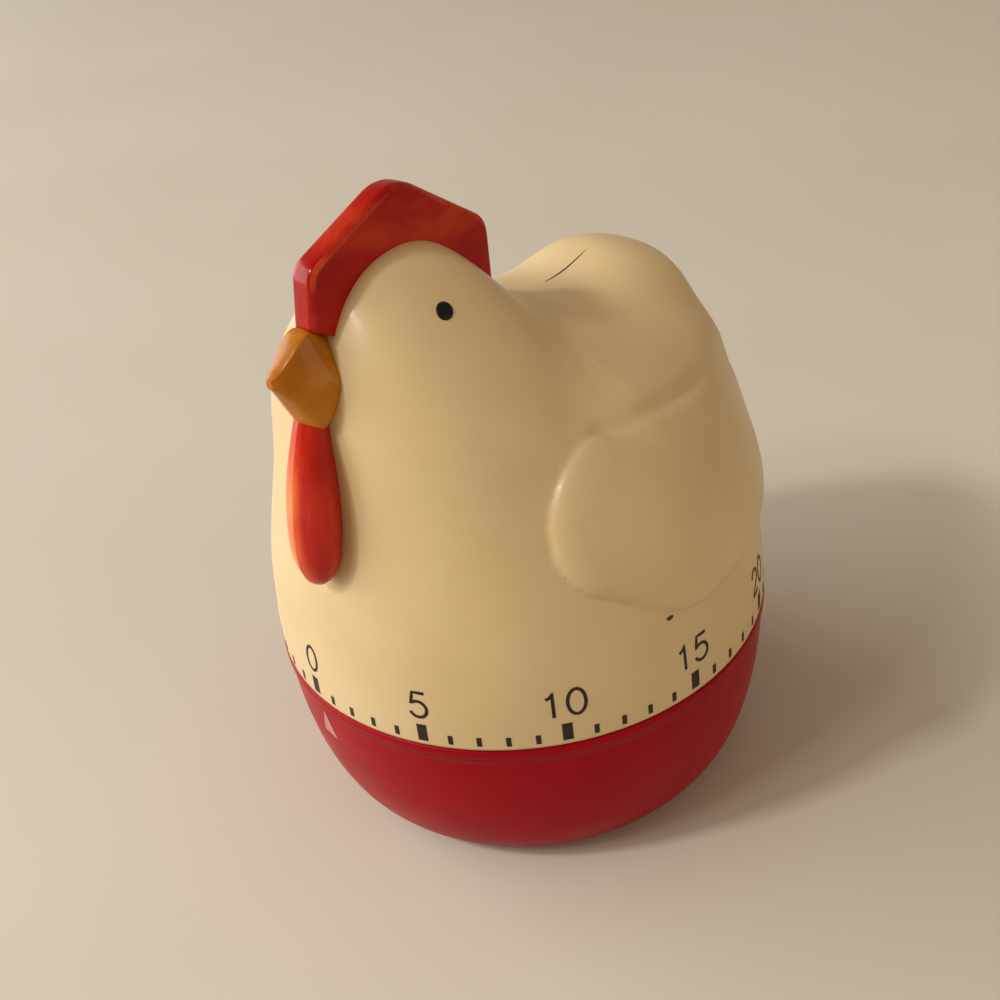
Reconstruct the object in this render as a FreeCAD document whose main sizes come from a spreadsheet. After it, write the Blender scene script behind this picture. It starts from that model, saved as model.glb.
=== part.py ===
import FreeCAD, Part

import math
import os

import Sketcher
from FreeCAD import Vector

# Hen-shaped mechanical kitchen timer.
# Frame: origin at the centre of the flat underside, +Z up along the dial axis,
# the hen faces -Y and its left side is +X.  All sizes in millimetres and degrees.

doc = FreeCAD.newDocument("HenTimer")
os.makedirs("parts", exist_ok=True)

SIZES = [
    # base bowl
    ("foot_radius", 22.2),
    ("bowl_radius", 32.85),
    ("lip_radius", 33.1),
    ("lip_low", 22.5),
    ("bowl_top", 23.85),
    ("bowl_wall", 2.0),
    ("floor_top", 2.2),
    ("foot_flat", 23.8),
    ("foot_edge", 25.2),
    ("foot_rise", 0.35),
    ("lip_round", 0.2),
    # hen shell
    ("rim_level", 24.15),
    ("seam_radius", 33.0),
    ("shell_wall", 2.0),
    ("crown_hole_angle", 87.9),
    ("comb_thickness", 3.5),
    ("comb_bevel", 0.5),
    ("peg_radius", 1.3),
    ("peg_length", 7.5),
    ("peg_bite", 2.5),
    ("trim_gap", 0.06),
    ("eye_radius", 1.05),
    ("eye_proud", 0.3),
    # drive disc that carries the hen
    ("disc_low", 24.9),
    ("disc_thick", 2.0),
    ("disc_radius", 30.85),
    ("skirt_low", 21.6),
    ("skirt_outer", 30.3),
    ("skirt_inner", 28.9),
    ("hub_radius", 4.2),
    ("hub_low", 22.4),
    ("hub_top", 28.4),
    # movement plates and pillars
    ("plate_radius", 25.0),
    ("plate_thick", 1.0),
    ("lower_plate_low", 6.2),
    ("upper_plate_low", 19.0),
    ("pillar_orbit", 19.0),
    ("pillar_radius", 1.9),
    ("pillar_first_angle", -25.0),
    ("post_radius", 2.6),
    ("screw_radius", 0.9),
    ("screw_head_radius", 1.9),
    ("screw_head_thick", 1.0),
    ("screw_play", 0.05),
    ("slot_width", 0.5),
    ("slot_depth", 0.35),
    # arbors
    ("arbor_radius", 1.5),
    ("pivot_radius", 0.6),
    ("pivot_clearance", 0.05),
    ("collar_radius", 2.9),
    # wheel train
    ("gear_thick", 1.0),
    ("wheel_thick", 0.8),
    ("leaf_overhang", 0.3),
    ("second_arbor_radius", 1.0),
    ("third_arbor_radius", 0.8),
    ("escape_arbor_radius", 0.7),
    ("great_level", 8.1),
    ("great_module", 0.45),
    ("great_teeth", 60),
    ("second_pinion_teeth", 12),
    ("second_level", 10.9),
    ("second_module", 0.3),
    ("second_teeth", 50),
    ("third_pinion_teeth", 10),
    ("third_level", 12.7),
    ("third_module", 0.25),
    ("third_teeth", 48),
    ("escape_pinion_teeth", 8),
    ("escape_level", 14.7),
    ("escape_radius", 4.4),
    ("escape_teeth", 20),
    ("train_angle", 20.0),
    ("third_orbit", 17.85),
    ("escape_orbit", 18.0),
    ("balance_gap", 6.4),
    ("balance_level", 16.7),
    ("balance_radius", 4.8),
    # ratchet and click
    ("ratchet_level", 9.4),
    ("ratchet_radius", 4.6),
    ("ratchet_teeth", 12),
    ("click_orbit", 7.2),
    # mainspring
    ("spring_low", 12.4),
    ("spring_height", 4.0),
    ("spring_inner", 3.4),
    ("spring_outer", 11.0),
    ("spring_strip", 0.35),
    ("spring_turns", 6.5),
    # bell and hammer
    ("bell_radius", 15.5),
    ("bell_low", 2.6),
    ("bell_top", 5.3),
    ("bell_wall", 0.6),
    ("bell_shoulder", 13.9),
    ("bell_shoulder_drop", 1.4),
    ("bell_bore", 1.0),
    ("bell_spacer_radius", 2.2),
    ("bell_screw_radius", 0.9),
    ("bell_head_radius", 2.0),
    ("hammer_arbor_radius", 0.8),
    ("hammer_orbit", 21.0),
    ("hammer_angle", 200.0),
    ("hammer_head_radius", 1.5),
    ("hammer_head_orbit", 17.5),
    ("trip_level", 20.7),
    ("cam_radius", 6.2),
]

sheet = doc.addObject("Spreadsheet::Sheet", "Sizes")


def add_size(name, value):
    add_size.row += 1
    sheet.set("A%d" % add_size.row, name)
    sheet.set("B%d" % add_size.row, str(value))
    sheet.setAlias("B%d" % add_size.row, name)


add_size.row = 0
for size_name, size_value in SIZES:
    add_size(size_name, size_value)
doc.recompute()


def size(name):
    return float(getattr(sheet, name))


def polar(radius, degrees):
    angle = math.radians(degrees)
    return radius * math.cos(angle), radius * math.sin(angle)


# Arbor positions: each wheel sits where its pinion meshes with the wheel before it.
great_pitch = 0.5 * size("great_module") * size("great_teeth")
second_orbit = great_pitch + 0.5 * size("great_module") * size("second_pinion_teeth")
second_gap = 0.5 * size("second_module") * (size("second_teeth") + size("third_pinion_teeth"))
third_gap = 0.5 * size("third_module") * (size("third_teeth") + size("escape_pinion_teeth"))


def turn_between(orbit_a, orbit_b, gap):
    cosine = (orbit_a ** 2 + orbit_b ** 2 - gap ** 2) / (2.0 * orbit_a * orbit_b)
    return math.degrees(math.acos(cosine))


second_angle = size("train_angle")
third_angle = second_angle + turn_between(second_orbit, size("third_orbit"), second_gap)
escape_angle = third_angle + turn_between(size("third_orbit"), size("escape_orbit"), third_gap)
balance_angle = escape_angle + turn_between(size("escape_orbit"), size("escape_orbit"),
                                            size("balance_gap"))
hammer_radius = size("hammer_orbit")
PLACES = {
    "second": polar(second_orbit, second_angle),
    "third": polar(size("third_orbit"), third_angle),
    "escape": polar(size("escape_orbit"), escape_angle),
    "balance": polar(size("escape_orbit"), balance_angle),
    "hammer": polar(hammer_radius, size("hammer_angle")),
    "click": polar(size("click_orbit"), 135.0),
}
for place_name in sorted(PLACES):
    add_size(place_name + "_x", round(PLACES[place_name][0], 5))
    add_size(place_name + "_y", round(PLACES[place_name][1], 5))
for index, word in enumerate(("east", "west", "south")):
    pillar_angle = size("pillar_first_angle") + (0.0, 180.0, 270.0)[index]
    pillar_spot = polar(size("pillar_orbit"), pillar_angle)
    add_size("pillar_%s_x" % word, round(pillar_spot[0], 5))
    add_size("pillar_%s_y" % word, round(pillar_spot[1], 5))
doc.recompute()
PILLARS = ("east", "west", "south")
NODES = []


def node(obj, label):
    obj.Label = label
    NODES.append(obj)
    return obj


# ------------------------------------------------------------ bound primitives

def rod(name, radius, low, high, x="0", y="0"):
    """Upright cylinder between two levels, every size an expression on the sheet."""
    obj = doc.addObject("Part::Cylinder", name)
    obj.setExpression("Radius", radius)
    obj.setExpression("Height", "(%s) - (%s)" % (high, low))
    obj.setExpression("Placement.Base.x", x)
    obj.setExpression("Placement.Base.y", y)
    obj.setExpression("Placement.Base.z", low)
    return obj


def bar(name, length, width, height, x, y, z):
    """Flat bar running along its own X from its starting point, centred in width."""
    obj = doc.addObject("Part::Box", name)
    obj.setExpression("Length", length)
    obj.setExpression("Width", width)
    obj.setExpression("Height", height)
    obj.setExpression("Placement.Base.x", x)
    obj.setExpression("Placement.Base.y", "(%s) - 0.5 * (%s)" % (y, width))
    obj.setExpression("Placement.Base.z", z)
    return obj


def fuse(name, shapes):
    obj = doc.addObject("Part::MultiFuse", name)
    obj.Shapes = shapes
    return obj


def cut(name, base, tool):
    obj = doc.addObject("Part::Cut", name)
    obj.Base = base
    obj.Tool = tool
    return obj


def group(name, links):
    obj = doc.addObject("Part::Compound", name)
    obj.Links = links
    return obj


def fixed_shape(name, shape):
    obj = doc.addObject("Part::Feature", name)
    obj.Shape = shape
    return obj


def pillar_x(word):
    return "Sizes.pillar_%s_x" % word


def pillar_y(word):
    return "Sizes.pillar_%s_y" % word


# ------------------------------------------------------------ sketched bodies

def plane_of(body, role):
    for feature in body.Origin.OriginFeatures:
        if feature.Role == role:
            return feature
    raise RuntimeError("no plane " + role)


def sketched_disc(name, level, thickness, radius, holes):
    """Padded round plate whose outline and holes are sketch circles bound to the sheet."""
    body = doc.addObject("PartDesign::Body", name)
    sketch = body.newObject("Sketcher::SketchObject", name + "_outline")
    sketch.AttachmentSupport = [(plane_of(body, "XY_Plane"), "")]
    sketch.MapMode = "FlatFace"
    circles = [("0", "0", radius)] + holes
    for place_x, place_y, circle_radius in circles:
        start = Vector(0, 0, 0)
        if place_x != "0" or place_y != "0":
            start = Vector(size(place_x.split(".")[-1]), size(place_y.split(".")[-1]), 0)
        index = sketch.addGeometry(Part.Circle(start, Vector(0, 0, 1), 2.0), False)
        grip = sketch.addConstraint(Sketcher.Constraint("Radius", index, 2.0))
        sketch.setExpression("Constraints[%d]" % grip, circle_radius)
        if place_x == "0" and place_y == "0":
            sketch.addConstraint(Sketcher.Constraint("Coincident", index, 3, -1, 1))
        else:
            across = sketch.addConstraint(
                Sketcher.Constraint("DistanceX", -1, 1, index, 3, start.x))
            sketch.setExpression("Constraints[%d]" % across, place_x)
            along = sketch.addConstraint(
                Sketcher.Constraint("DistanceY", -1, 1, index, 3, start.y))
            sketch.setExpression("Constraints[%d]" % along, place_y)
    pad = body.newObject("PartDesign::Pad", name + "_pad")
    pad.Profile = sketch
    pad.setExpression("Length", thickness)
    body.setExpression("Placement.Base.z", level)
    return body


def sketched_ring(name, points):
    """Revolved body from a closed profile of (radius, level) pairs given as expressions."""
    body = doc.addObject("PartDesign::Body", name)
    sketch = body.newObject("Sketcher::SketchObject", name + "_profile")
    sketch.AttachmentSupport = [(plane_of(body, "XZ_Plane"), "")]
    sketch.MapMode = "FlatFace"
    spots = [Vector(value_of(r), value_of(z), 0) for r, z in points]
    count = len(spots)
    for index in range(count):
        sketch.addGeometry(Part.LineSegment(spots[index], spots[(index + 1) % count]), False)
    for index in range(count):
        sketch.addConstraint(
            Sketcher.Constraint("Coincident", index, 2, (index + 1) % count, 1))
    for index, (radius, level) in enumerate(points):
        across = sketch.addConstraint(
            Sketcher.Constraint("DistanceX", -1, 1, index, 1, spots[index].x))
        sketch.setExpression("Constraints[%d]" % across, radius)
        along = sketch.addConstraint(
            Sketcher.Constraint("DistanceY", -1, 1, index, 1, spots[index].y))
        sketch.setExpression("Constraints[%d]" % along, level)
    turned = body.newObject("PartDesign::Revolution", name + "_turned")
    turned.Profile = sketch
    turned.ReferenceAxis = (sketch, ["V_Axis"])
    turned.Angle = 360.0
    return body


def value_of(expression):
    """Number behind a sum or difference of sheet names, to start a sketch near its answer."""
    total = 0.0
    sign = 1.0
    for word in expression.split():
        if word in ("+", "-"):
            sign = 1.0 if word == "+" else -1.0
        elif word.startswith("Sizes."):
            total += sign * size(word[6:])
        else:
            total += sign * float(word)
    return total


# ------------------------------------------------------------ hen surface

RIM = size("rim_level")
BODY = {"radius": size("seam_radius"), "height": 40.34, "round": 2.3, "rise": 2.05}
HEAD = {"y": -13.4, "z": 57.26, "half": (18.28, 13.07, 20.78), "tilt": 0.08, "power": 2.2,
        "taper": 0.75}
TAIL = {"y": 21.79, "z": 45.36, "half": (13.12, 8.58, 19.08), "tilt": -0.12, "power": 2.5,
        "taper": 0.0}
BLEND = 0.3
CENTRE_Y = -6.0
# Circles that the wing's outline runs round, front to rear: azimuth, level, radius.
WING_SPOTS = [(70.5, 49.3, 8.3), (88.0, 46.0, 10.2), (140.0, 45.0, 8.2)]
WING = {"scale": 28.0, "height": 1.7, "edge": 3.4}


def lobe(x, y, z, shape):
    cosine = math.cos(shape["tilt"])
    sine = math.sin(shape["tilt"])
    along = (y - shape["y"]) * cosine + (z - shape["z"]) * sine
    above = (z - shape["z"]) * cosine - (y - shape["y"]) * sine
    half = shape["half"]
    power = shape["power"]
    narrowing = 1.0 + shape["taper"] * max(above / half[2], 0.0) ** 2
    total = abs(x * narrowing / half[0]) ** power + abs(along / half[1]) ** power
    total += abs(above / half[2]) ** power
    return (total ** (1.0 / power) - 1.0) * min(half)


def hen_level(x, y, z):
    """Negative inside the hen, zero on its smooth skin: dome, head and tail run together."""
    height = max(z - RIM, 0.0)
    dome = (math.hypot(x, y) / BODY["radius"]) ** BODY["round"]
    dome += (height / BODY["height"]) ** BODY["rise"]
    dome = (dome ** (1.0 / BODY["round"]) - 1.0) * BODY["radius"]
    low = max(36.0 - z, 0.0)
    parts = (dome, lobe(x, y, z, HEAD) + 0.6 * low, lobe(x, y, z, TAIL) + 0.9 * low)
    least = min(parts)
    total = sum(math.exp(-BLEND * (part - least)) for part in parts)
    return least - math.log(total) / BLEND


def wing_inside(azimuth, level):
    """How far inside the wing's outline a place is; negative outside it."""
    scale = math.radians(WING["scale"])
    deepest = -math.inf
    for front, rear in zip(WING_SPOTS, WING_SPOTS[1:]):
        step = ((rear[0] - front[0]) * scale, rear[1] - front[1])
        offset = ((azimuth - front[0]) * scale, level - front[1])
        share = (offset[0] * step[0] + offset[1] * step[1]) / (step[0] ** 2 + step[1] ** 2)
        share = min(max(share, 0.0), 1.0)
        near = math.hypot(offset[0] - share * step[0], offset[1] - share * step[1])
        deepest = max(deepest, front[2] + share * (rear[2] - front[2]) - near)
    return deepest


def wing_height(x, y, z):
    """Raised wing on each flank: rounded at both ends, fuller at the front."""
    azimuth = math.degrees(math.atan2(abs(x), -y))
    rise = min(max(wing_inside(azimuth, z) / WING["edge"], 0.0), 1.0)
    return WING["height"] * rise * rise * (3.0 - 2.0 * rise)


def skin_point(azimuth, elevation):
    """Point of the outer skin in a direction from the middle of the rim."""
    a = math.radians(azimuth)
    e = math.radians(elevation)
    direction = (math.sin(a) * math.cos(e), -math.cos(a) * math.cos(e), math.sin(e))
    low = 2.0
    high = 90.0
    for _ in range(60):
        middle = 0.5 * (low + high)
        x = direction[0] * middle
        y = CENTRE_Y + direction[1] * middle
        z = RIM + direction[2] * middle
        if hen_level(x, y, z) < 0.0:
            low = middle
        else:
            high = middle
    point = Vector(direction[0] * low, CENTRE_Y + direction[1] * low,
                   RIM + direction[2] * low)
    lift = wing_height(point.x, point.y, point.z)
    out = Vector(*direction)
    if abs(elevation) < 1e-9:
        point.z = RIM
    return point + out * lift


def skin_normal(azimuth, elevation):
    step = 0.4
    across = skin_point(azimuth + step, elevation) - skin_point(azimuth - step, elevation)
    rise = skin_point(azimuth, elevation + step) - skin_point(azimuth, elevation - step)
    normal = across.cross(rise)
    normal.normalize()
    return normal


def skin_surface(depth, columns=48, rows=34):
    """Spline surface of the left half of the hen, moved inward by a depth."""
    top = size("crown_hole_angle")
    grid = []
    for row in range(rows + 1):
        elevation = top * row / rows
        line = []
        for column in range(columns + 1):
            azimuth = 180.0 * column / columns
            point = skin_point(azimuth, elevation)
            if depth != 0.0:
                if row == 0:
                    inward = Vector(-point.x, -point.y, 0)
                    inward.normalize()
                    point = point + inward * depth
                else:
                    point = point - skin_normal(azimuth, elevation) * depth
            if column in (0, columns):
                point.x = 0.0
            line.append(point)
        grid.append(line)
    surface = Part.BSplineSurface()
    surface.interpolate(grid)
    return surface


def side_edges(surface):
    """The four border edges of a surface: rim, crown hole, front and rear meridians."""
    u_low, u_high, v_low, v_high = surface.bounds()
    return {"rim": surface.uIso(u_low).toShape(), "crown": surface.uIso(u_high).toShape(),
            "front": surface.vIso(v_low).toShape(), "rear": surface.vIso(v_high).toShape()}


outer_skin = skin_surface(0.0)
inner_skin = skin_surface(size("shell_wall"))
outer_edges = side_edges(outer_skin)
inner_edges = side_edges(inner_skin)
walls = [Part.makeRuledSurface(outer_edges[side], inner_edges[side])
         for side in ("rim", "crown", "front", "rear")]
left_shell = Part.Shell([outer_skin.toShape(), inner_skin.toShape()] + walls)
left_shell.sewShape()
left_half = Part.Solid(left_shell)
if left_half.Volume < 0:
    left_half.reverse()
shell_left = node(fixed_shape("ShellLeft", left_half), "hen_shell_left")
shell_right = doc.addObject("Part::Mirroring", "ShellRight")
shell_right.Source = shell_left
shell_right.Base = Vector(0, 0, 0)
shell_right.Normal = Vector(1, 0, 0)
node(shell_right, "hen_shell_right")


def filled_half(skin):
    """Solid left half of the hen under a skin, for seating trim on it."""
    edges = side_edges(skin)
    front_low = edges["front"].valueAt(edges["front"].FirstParameter)
    rear_low = edges["rear"].valueAt(edges["rear"].FirstParameter)
    front_high = edges["front"].valueAt(edges["front"].LastParameter)
    rear_high = edges["rear"].valueAt(edges["rear"].LastParameter)
    floor = Part.makeLine(front_low, rear_low)
    roof = Part.makeLine(front_high, rear_high)
    faces = [skin.toShape()]
    faces.append(Part.makeRuledSurface(edges["rim"], floor))
    faces.append(Part.makeRuledSurface(edges["crown"], roof))
    middle = Part.Wire(Part.__sortEdges__([edges["front"], roof, edges["rear"], floor]))
    faces.append(Part.Face(middle))
    shell = Part.Shell(faces)
    shell.sewShape()
    solid = Part.Solid(shell)
    if solid.Volume < 0:
        solid.reverse()
    return solid


half_hen = filled_half(skin_surface(-size("trim_gap")))
other_half = half_hen.mirror(Vector(0, 0, 0), Vector(1, 0, 0))
whole_hen = half_hen.fuse(other_half)

# ------------------------------------------------------------ comb, beak, wattle, eyes

COMB_OUTLINE = [(-26.6, 73.2), (-25.4, 79.5), (-13.6, 84.5), (-10.8, 84.2), (0.3, 76.4),
                (0.2, 66.0), (-4.5, 70.0), (-10.5, 74.5), (-16.0, 75.5), (-21.0, 73.5)]


def prism(outline, half_width):
    wire = Part.makePolygon([Vector(-half_width, y, z) for y, z in outline + outline[:1]])
    return Part.Face(wire).extrude(Vector(2.0 * half_width, 0, 0))


def is_outer_edge(edge, half_width):
    """True for an edge of a comb side face that runs along the comb's free outline."""
    middle = edge.valueAt(0.5 * (edge.FirstParameter + edge.LastParameter))
    on_side = abs(abs(middle.x) - half_width) < 0.01
    free = all(vertex.Point.z > COMB_OUTLINE[0][1] - 0.1 for vertex in edge.Vertexes)
    return on_side and free and middle.z > COMB_OUTLINE[0][1] + 1.5


comb_half = 0.5 * size("comb_thickness")
comb_block = prism(COMB_OUTLINE, comb_half)
bevel_edges = [edge for edge in comb_block.Edges if is_outer_edge(edge, comb_half)]
comb_block = comb_block.makeChamfer(size("comb_bevel"), bevel_edges)
comb_solid = comb_block.cut(whole_hen)


def crown_hole_centre(depth):
    """Middle of the crown hole at a depth under the skin."""
    angle = size("crown_hole_angle")
    front = skin_point(0.0, angle) - skin_normal(0.0, angle) * depth
    rear = skin_point(180.0, angle) - skin_normal(180.0, angle) * depth
    centre = (front + rear) * 0.5
    return Vector(0, centre.y, centre.z)


hole_mouth = crown_hole_centre(0.0)
peg_axis = hole_mouth - crown_hole_centre(size("shell_wall"))
peg_axis.normalize()
peg_start = hole_mouth - peg_axis * (size("peg_length") - size("peg_bite"))
comb_peg = Part.makeCylinder(size("peg_radius"), size("peg_length"), peg_start, peg_axis)
comb_solid = comb_solid.fuse(comb_peg).removeSplitter()
comb = node(fixed_shape("Comb", comb_solid), "comb")

# Beak slices from the head to the tip: level forward, top, bottom, half width of the flat
# crown, half width of the cheeks.
BEAK_SLICES = [
    (-22.0, 71.4, 60.8, 0.5, 3.4), (-24.4, 71.8, 60.8, 0.6, 3.5),
    (-26.6, 73.1, 60.8, 1.4, 3.55), (-28.2, 72.6, 61.3, 1.5, 3.2),
    (-29.6, 71.5, 63.6, 1.25, 2.55), (-30.8, 70.5, 66.2, 0.95, 1.75),
    (-31.6, 70.0, 67.9, 0.65, 1.1), (-32.1, 69.7, 68.6, 0.35, 0.5),
]
# Points of a cheek from the crown down: share of the spare half width, share of the height.
CHEEK = [(0.0, 0.0), (0.56, 0.22), (1.0, 0.5), (0.68, 0.81)]


def beak_slice(y, top, bottom, crown, cheek):
    """Closed outline across the beak: flat crown, two full cheeks, narrow underside."""
    high = top - bottom
    right = [Vector(crown + share * (cheek - crown), y, top - drop * high)
             for share, drop in CHEEK]
    right.append(Vector(0, y, bottom))
    left = [Vector(-point.x, y, point.z) for point in reversed(right)]
    edges = [Part.makeLine(left[-1], right[0])]
    for side in (right, left):
        curve = Part.BSplineCurve()
        curve.interpolate(side)
        edges.append(curve.toShape())
    return Part.Wire(edges)


beak_solid = Part.makeLoft([beak_slice(*row) for row in BEAK_SLICES], True, False)
beak_solid = beak_solid.cut(whole_hen).cut(comb_solid)
beak_solid = max(beak_solid.Solids, key=lambda solid: solid.Volume)
beak = node(fixed_shape("Beak", beak_solid), "beak")


def skin_front(level):
    """Y of the hen's front line at a height."""
    low = -40.0
    high = -10.0
    for _ in range(50):
        middle = 0.5 * (low + high)
        if hen_level(0.0, middle, level) < 0.0:
            high = middle
        else:
            low = middle
    return low


# Wattle slices from the bottom up: level, line of its thickest part, half width, half depth.
WATTLE_SLICES = [
    (43.4, -31.75, 0.4, 0.3), (43.9, -31.7, 1.4, 1.0), (44.9, -31.65, 2.3, 1.65),
    (47.0, -31.5, 3.2, 2.3), (49.8, -31.2, 3.5, 2.5), (53.5, -30.65, 3.38, 2.4),
    (57.1, -30.0, 3.0, 2.15), (60.0, -29.3, 2.55, 1.85), (62.9, -28.4, 2.15, 1.6),
]
# Points of a slice from its front: share of the half width, share of the depth.
WATTLE_FRONT = [(0.0, -1.0), (0.7, -0.72), (1.0, 0.0)]
WATTLE_BACK = [(0.84, 0.5), (0.45, 1.0), (0.0, 1.05)]


def wattle_slice(level, line, half_wide, half_deep):
    """Closed outline across the wattle: full in front, drawn in where it meets the breast."""
    back = max(skin_front(level) + 0.8 - line, 0.8 * half_deep)
    right = [Vector(share * half_wide, line + deep * half_deep, level)
             for share, deep in WATTLE_FRONT]
    right += [Vector(share * half_wide, line + deep * back, level)
              for share, deep in WATTLE_BACK]
    left = [Vector(-point.x, point.y, level) for point in reversed(right[1:-1])]
    curve = Part.BSplineCurve()
    curve.interpolate(Points=right + left, PeriodicFlag=True)
    return Part.Wire([curve.toShape()])


wattle_solid = Part.makeLoft([wattle_slice(*row) for row in WATTLE_SLICES], True, False)
wattle_solid = wattle_solid.cut(whole_hen).cut(beak_solid)
wattle_solid = max(wattle_solid.Solids, key=lambda solid: solid.Volume)
wattle = node(fixed_shape("Wattle", wattle_solid), "wattle")

EYE_AZIMUTH = 46.0
EYE_ELEVATION = 74.9
EYE_PIN = 1.6
eye_solids = []
for side in (1.0, -1.0):
    spot = skin_point(EYE_AZIMUTH, EYE_ELEVATION)
    face_out = skin_normal(EYE_AZIMUTH, EYE_ELEVATION)
    if side < 0.0:
        spot.x = -spot.x
        face_out.x = -face_out.x
    pin = Part.makeCylinder(size("eye_radius"), EYE_PIN + size("eye_proud"),
                            spot - face_out * EYE_PIN, face_out)
    eye_solids.append(max(pin.cut(whole_hen).Solids, key=lambda solid: solid.Volume))
eyes = node(fixed_shape("Eyes", Part.makeCompound(eye_solids)), "eyes")

# ------------------------------------------------------------ base bowl

# Powers that shape the bowl's side: how it leaves the lip and how it rounds to the foot.
BOWL_DROP_POWER = 2.04
BOWL_FOOT_POWER = 3.15


def bowl_outline(offset, low, high, steps=10):
    """Outer bowl profile, moved inward by an offset, as spline points from low to high."""
    points = []
    foot = size("foot_radius")
    reach = size("bowl_radius") - foot
    top = size("bowl_top")
    for step in range(steps + 1):
        share = step / float(steps)
        level = low + (high - low) * share * share
        drop = (top - level) / top
        radius = foot + reach * (1.0 - drop ** BOWL_DROP_POWER) ** (1.0 / BOWL_FOOT_POWER)
        points.append(Vector(radius - offset, 0, level))
    return points


def turned_solid(points, spline_ranges):
    """Revolve a closed profile whose listed index ranges are smooth curves."""
    edges = []
    index = 0
    count = len(points)
    while index < count:
        end = index + 1
        for start, stop in spline_ranges:
            if index == start:
                end = stop
        if end - index > 1:
            curve = Part.BSplineCurve()
            curve.interpolate(points[index:end + 1])
            edges.append(curve.toShape())
        else:
            edges.append(Part.makeLine(points[index], points[(index + 1) % count]))
        index = end
    face = Part.Face(Part.Wire(edges))
    return face.revolve(Vector(0, 0, 0), Vector(0, 0, 1), 360)


outer_line = bowl_outline(0.0, size("foot_rise"), size("lip_low"))
outer_line[0] = Vector(size("foot_edge"), 0, size("foot_rise"))
inner_line = list(reversed(bowl_outline(size("bowl_wall"), size("floor_top"), size("lip_low"))))
bowl_points = [Vector(0, 0, 0), Vector(size("foot_flat"), 0, 0)]
bowl_points += outer_line
outer_range = (2, 2 + len(outer_line) - 1)
lip_round = size("lip_round")
bowl_points += [Vector(size("lip_radius"), 0, size("lip_low") + lip_round),
                Vector(size("lip_radius"), 0, size("bowl_top") - lip_round),
                Vector(size("lip_radius") - lip_round, 0, size("bowl_top")),
                Vector(inner_line[0].x, 0, size("bowl_top"))]
inner_start = len(bowl_points)
bowl_points += inner_line
inner_range = (inner_start, inner_start + len(inner_line) - 1)
bowl_points += [Vector(0, 0, size("floor_top"))]
bowl_shape = turned_solid(bowl_points, [outer_range, inner_range])
bowl_turned = fixed_shape("BowlTurned", bowl_shape)
posts = [rod("Post_" + word, "Sizes.post_radius", "Sizes.floor_top - 0.5",
             "Sizes.lower_plate_low", pillar_x(word), pillar_y(word)) for word in PILLARS]
bowl_full = fuse("BowlFull", [bowl_turned] + posts)
screw_hole = "Sizes.screw_radius + Sizes.screw_play"
bowl_bores = [rod("ScrewBore_" + word, screw_hole, "-1", "Sizes.lower_plate_low + 1",
                  pillar_x(word), pillar_y(word)) for word in PILLARS]
bowl_bores += [rod("HeadBore_" + word, "Sizes.screw_head_radius + 0.3", "-1", "1.5",
                   pillar_x(word), pillar_y(word)) for word in PILLARS]
node(cut("Bowl", bowl_full, fuse("BowlBores", bowl_bores)), "base_bowl")

base_screws = []
for word in PILLARS:
    shank = rod("BaseShank_" + word, "Sizes.screw_radius", "1.0",
                "Sizes.lower_plate_low + Sizes.plate_thick + 2.5", pillar_x(word), pillar_y(word))
    head = rod("BaseHead_" + word, "Sizes.screw_head_radius", "0.5", "1.5",
               pillar_x(word), pillar_y(word))
    slot = bar("BaseSlot_" + word, "5", "Sizes.slot_width", "Sizes.slot_depth",
               pillar_x(word) + " - 2.5", pillar_y(word), "0.3")
    base_screws.append(cut("BaseScrew_" + word, fuse("BaseBlank_" + word, [shank, head]), slot))
node(group("BaseScrews", base_screws), "base_screws")

# ------------------------------------------------------------ plates and pillars

pivot_hole = "Sizes.pivot_radius + Sizes.pivot_clearance"
plate_holes = [(pillar_x(word), pillar_y(word), screw_hole) for word in PILLARS]
for place_name in ("second", "third", "escape", "balance"):
    plate_holes.append(("Sizes.%s_x" % place_name, "Sizes.%s_y" % place_name, pivot_hole))
hammer_hole = ("Sizes.hammer_x", "Sizes.hammer_y",
               "Sizes.hammer_arbor_radius + Sizes.pivot_clearance")
lower_holes = plate_holes + [hammer_hole, ("0", "0", "0.8 + Sizes.pivot_clearance")]
upper_holes = plate_holes + [hammer_hole, ("0", "0", "Sizes.arbor_radius + Sizes.pivot_clearance")]
node(sketched_disc("LowerPlate", "Sizes.lower_plate_low", "Sizes.plate_thick",
                   "Sizes.plate_radius", lower_holes), "lower_plate")
node(sketched_disc("UpperPlate", "Sizes.upper_plate_low", "Sizes.plate_thick",
                   "Sizes.plate_radius", upper_holes), "upper_plate")

plate_top = "Sizes.lower_plate_low + Sizes.plate_thick"
pillars = []
for word in PILLARS:
    column = rod("Column_" + word, "Sizes.pillar_radius", plate_top, "Sizes.upper_plate_low",
                 pillar_x(word), pillar_y(word))
    low_bore = rod("LowThread_" + word, "Sizes.screw_radius + 0.02", plate_top + " - 1",
                   plate_top + " + 3", pillar_x(word), pillar_y(word))
    high_bore = rod("HighThread_" + word, "Sizes.screw_radius + 0.02",
                    "Sizes.upper_plate_low - 3.5", "Sizes.upper_plate_low + 1",
                    pillar_x(word), pillar_y(word))
    bores = fuse("PillarBores_" + word, [low_bore, high_bore])
    pillars.append(cut("Pillar_" + word, column, bores))
node(group("Pillars", pillars), "plate_pillars")

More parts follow.
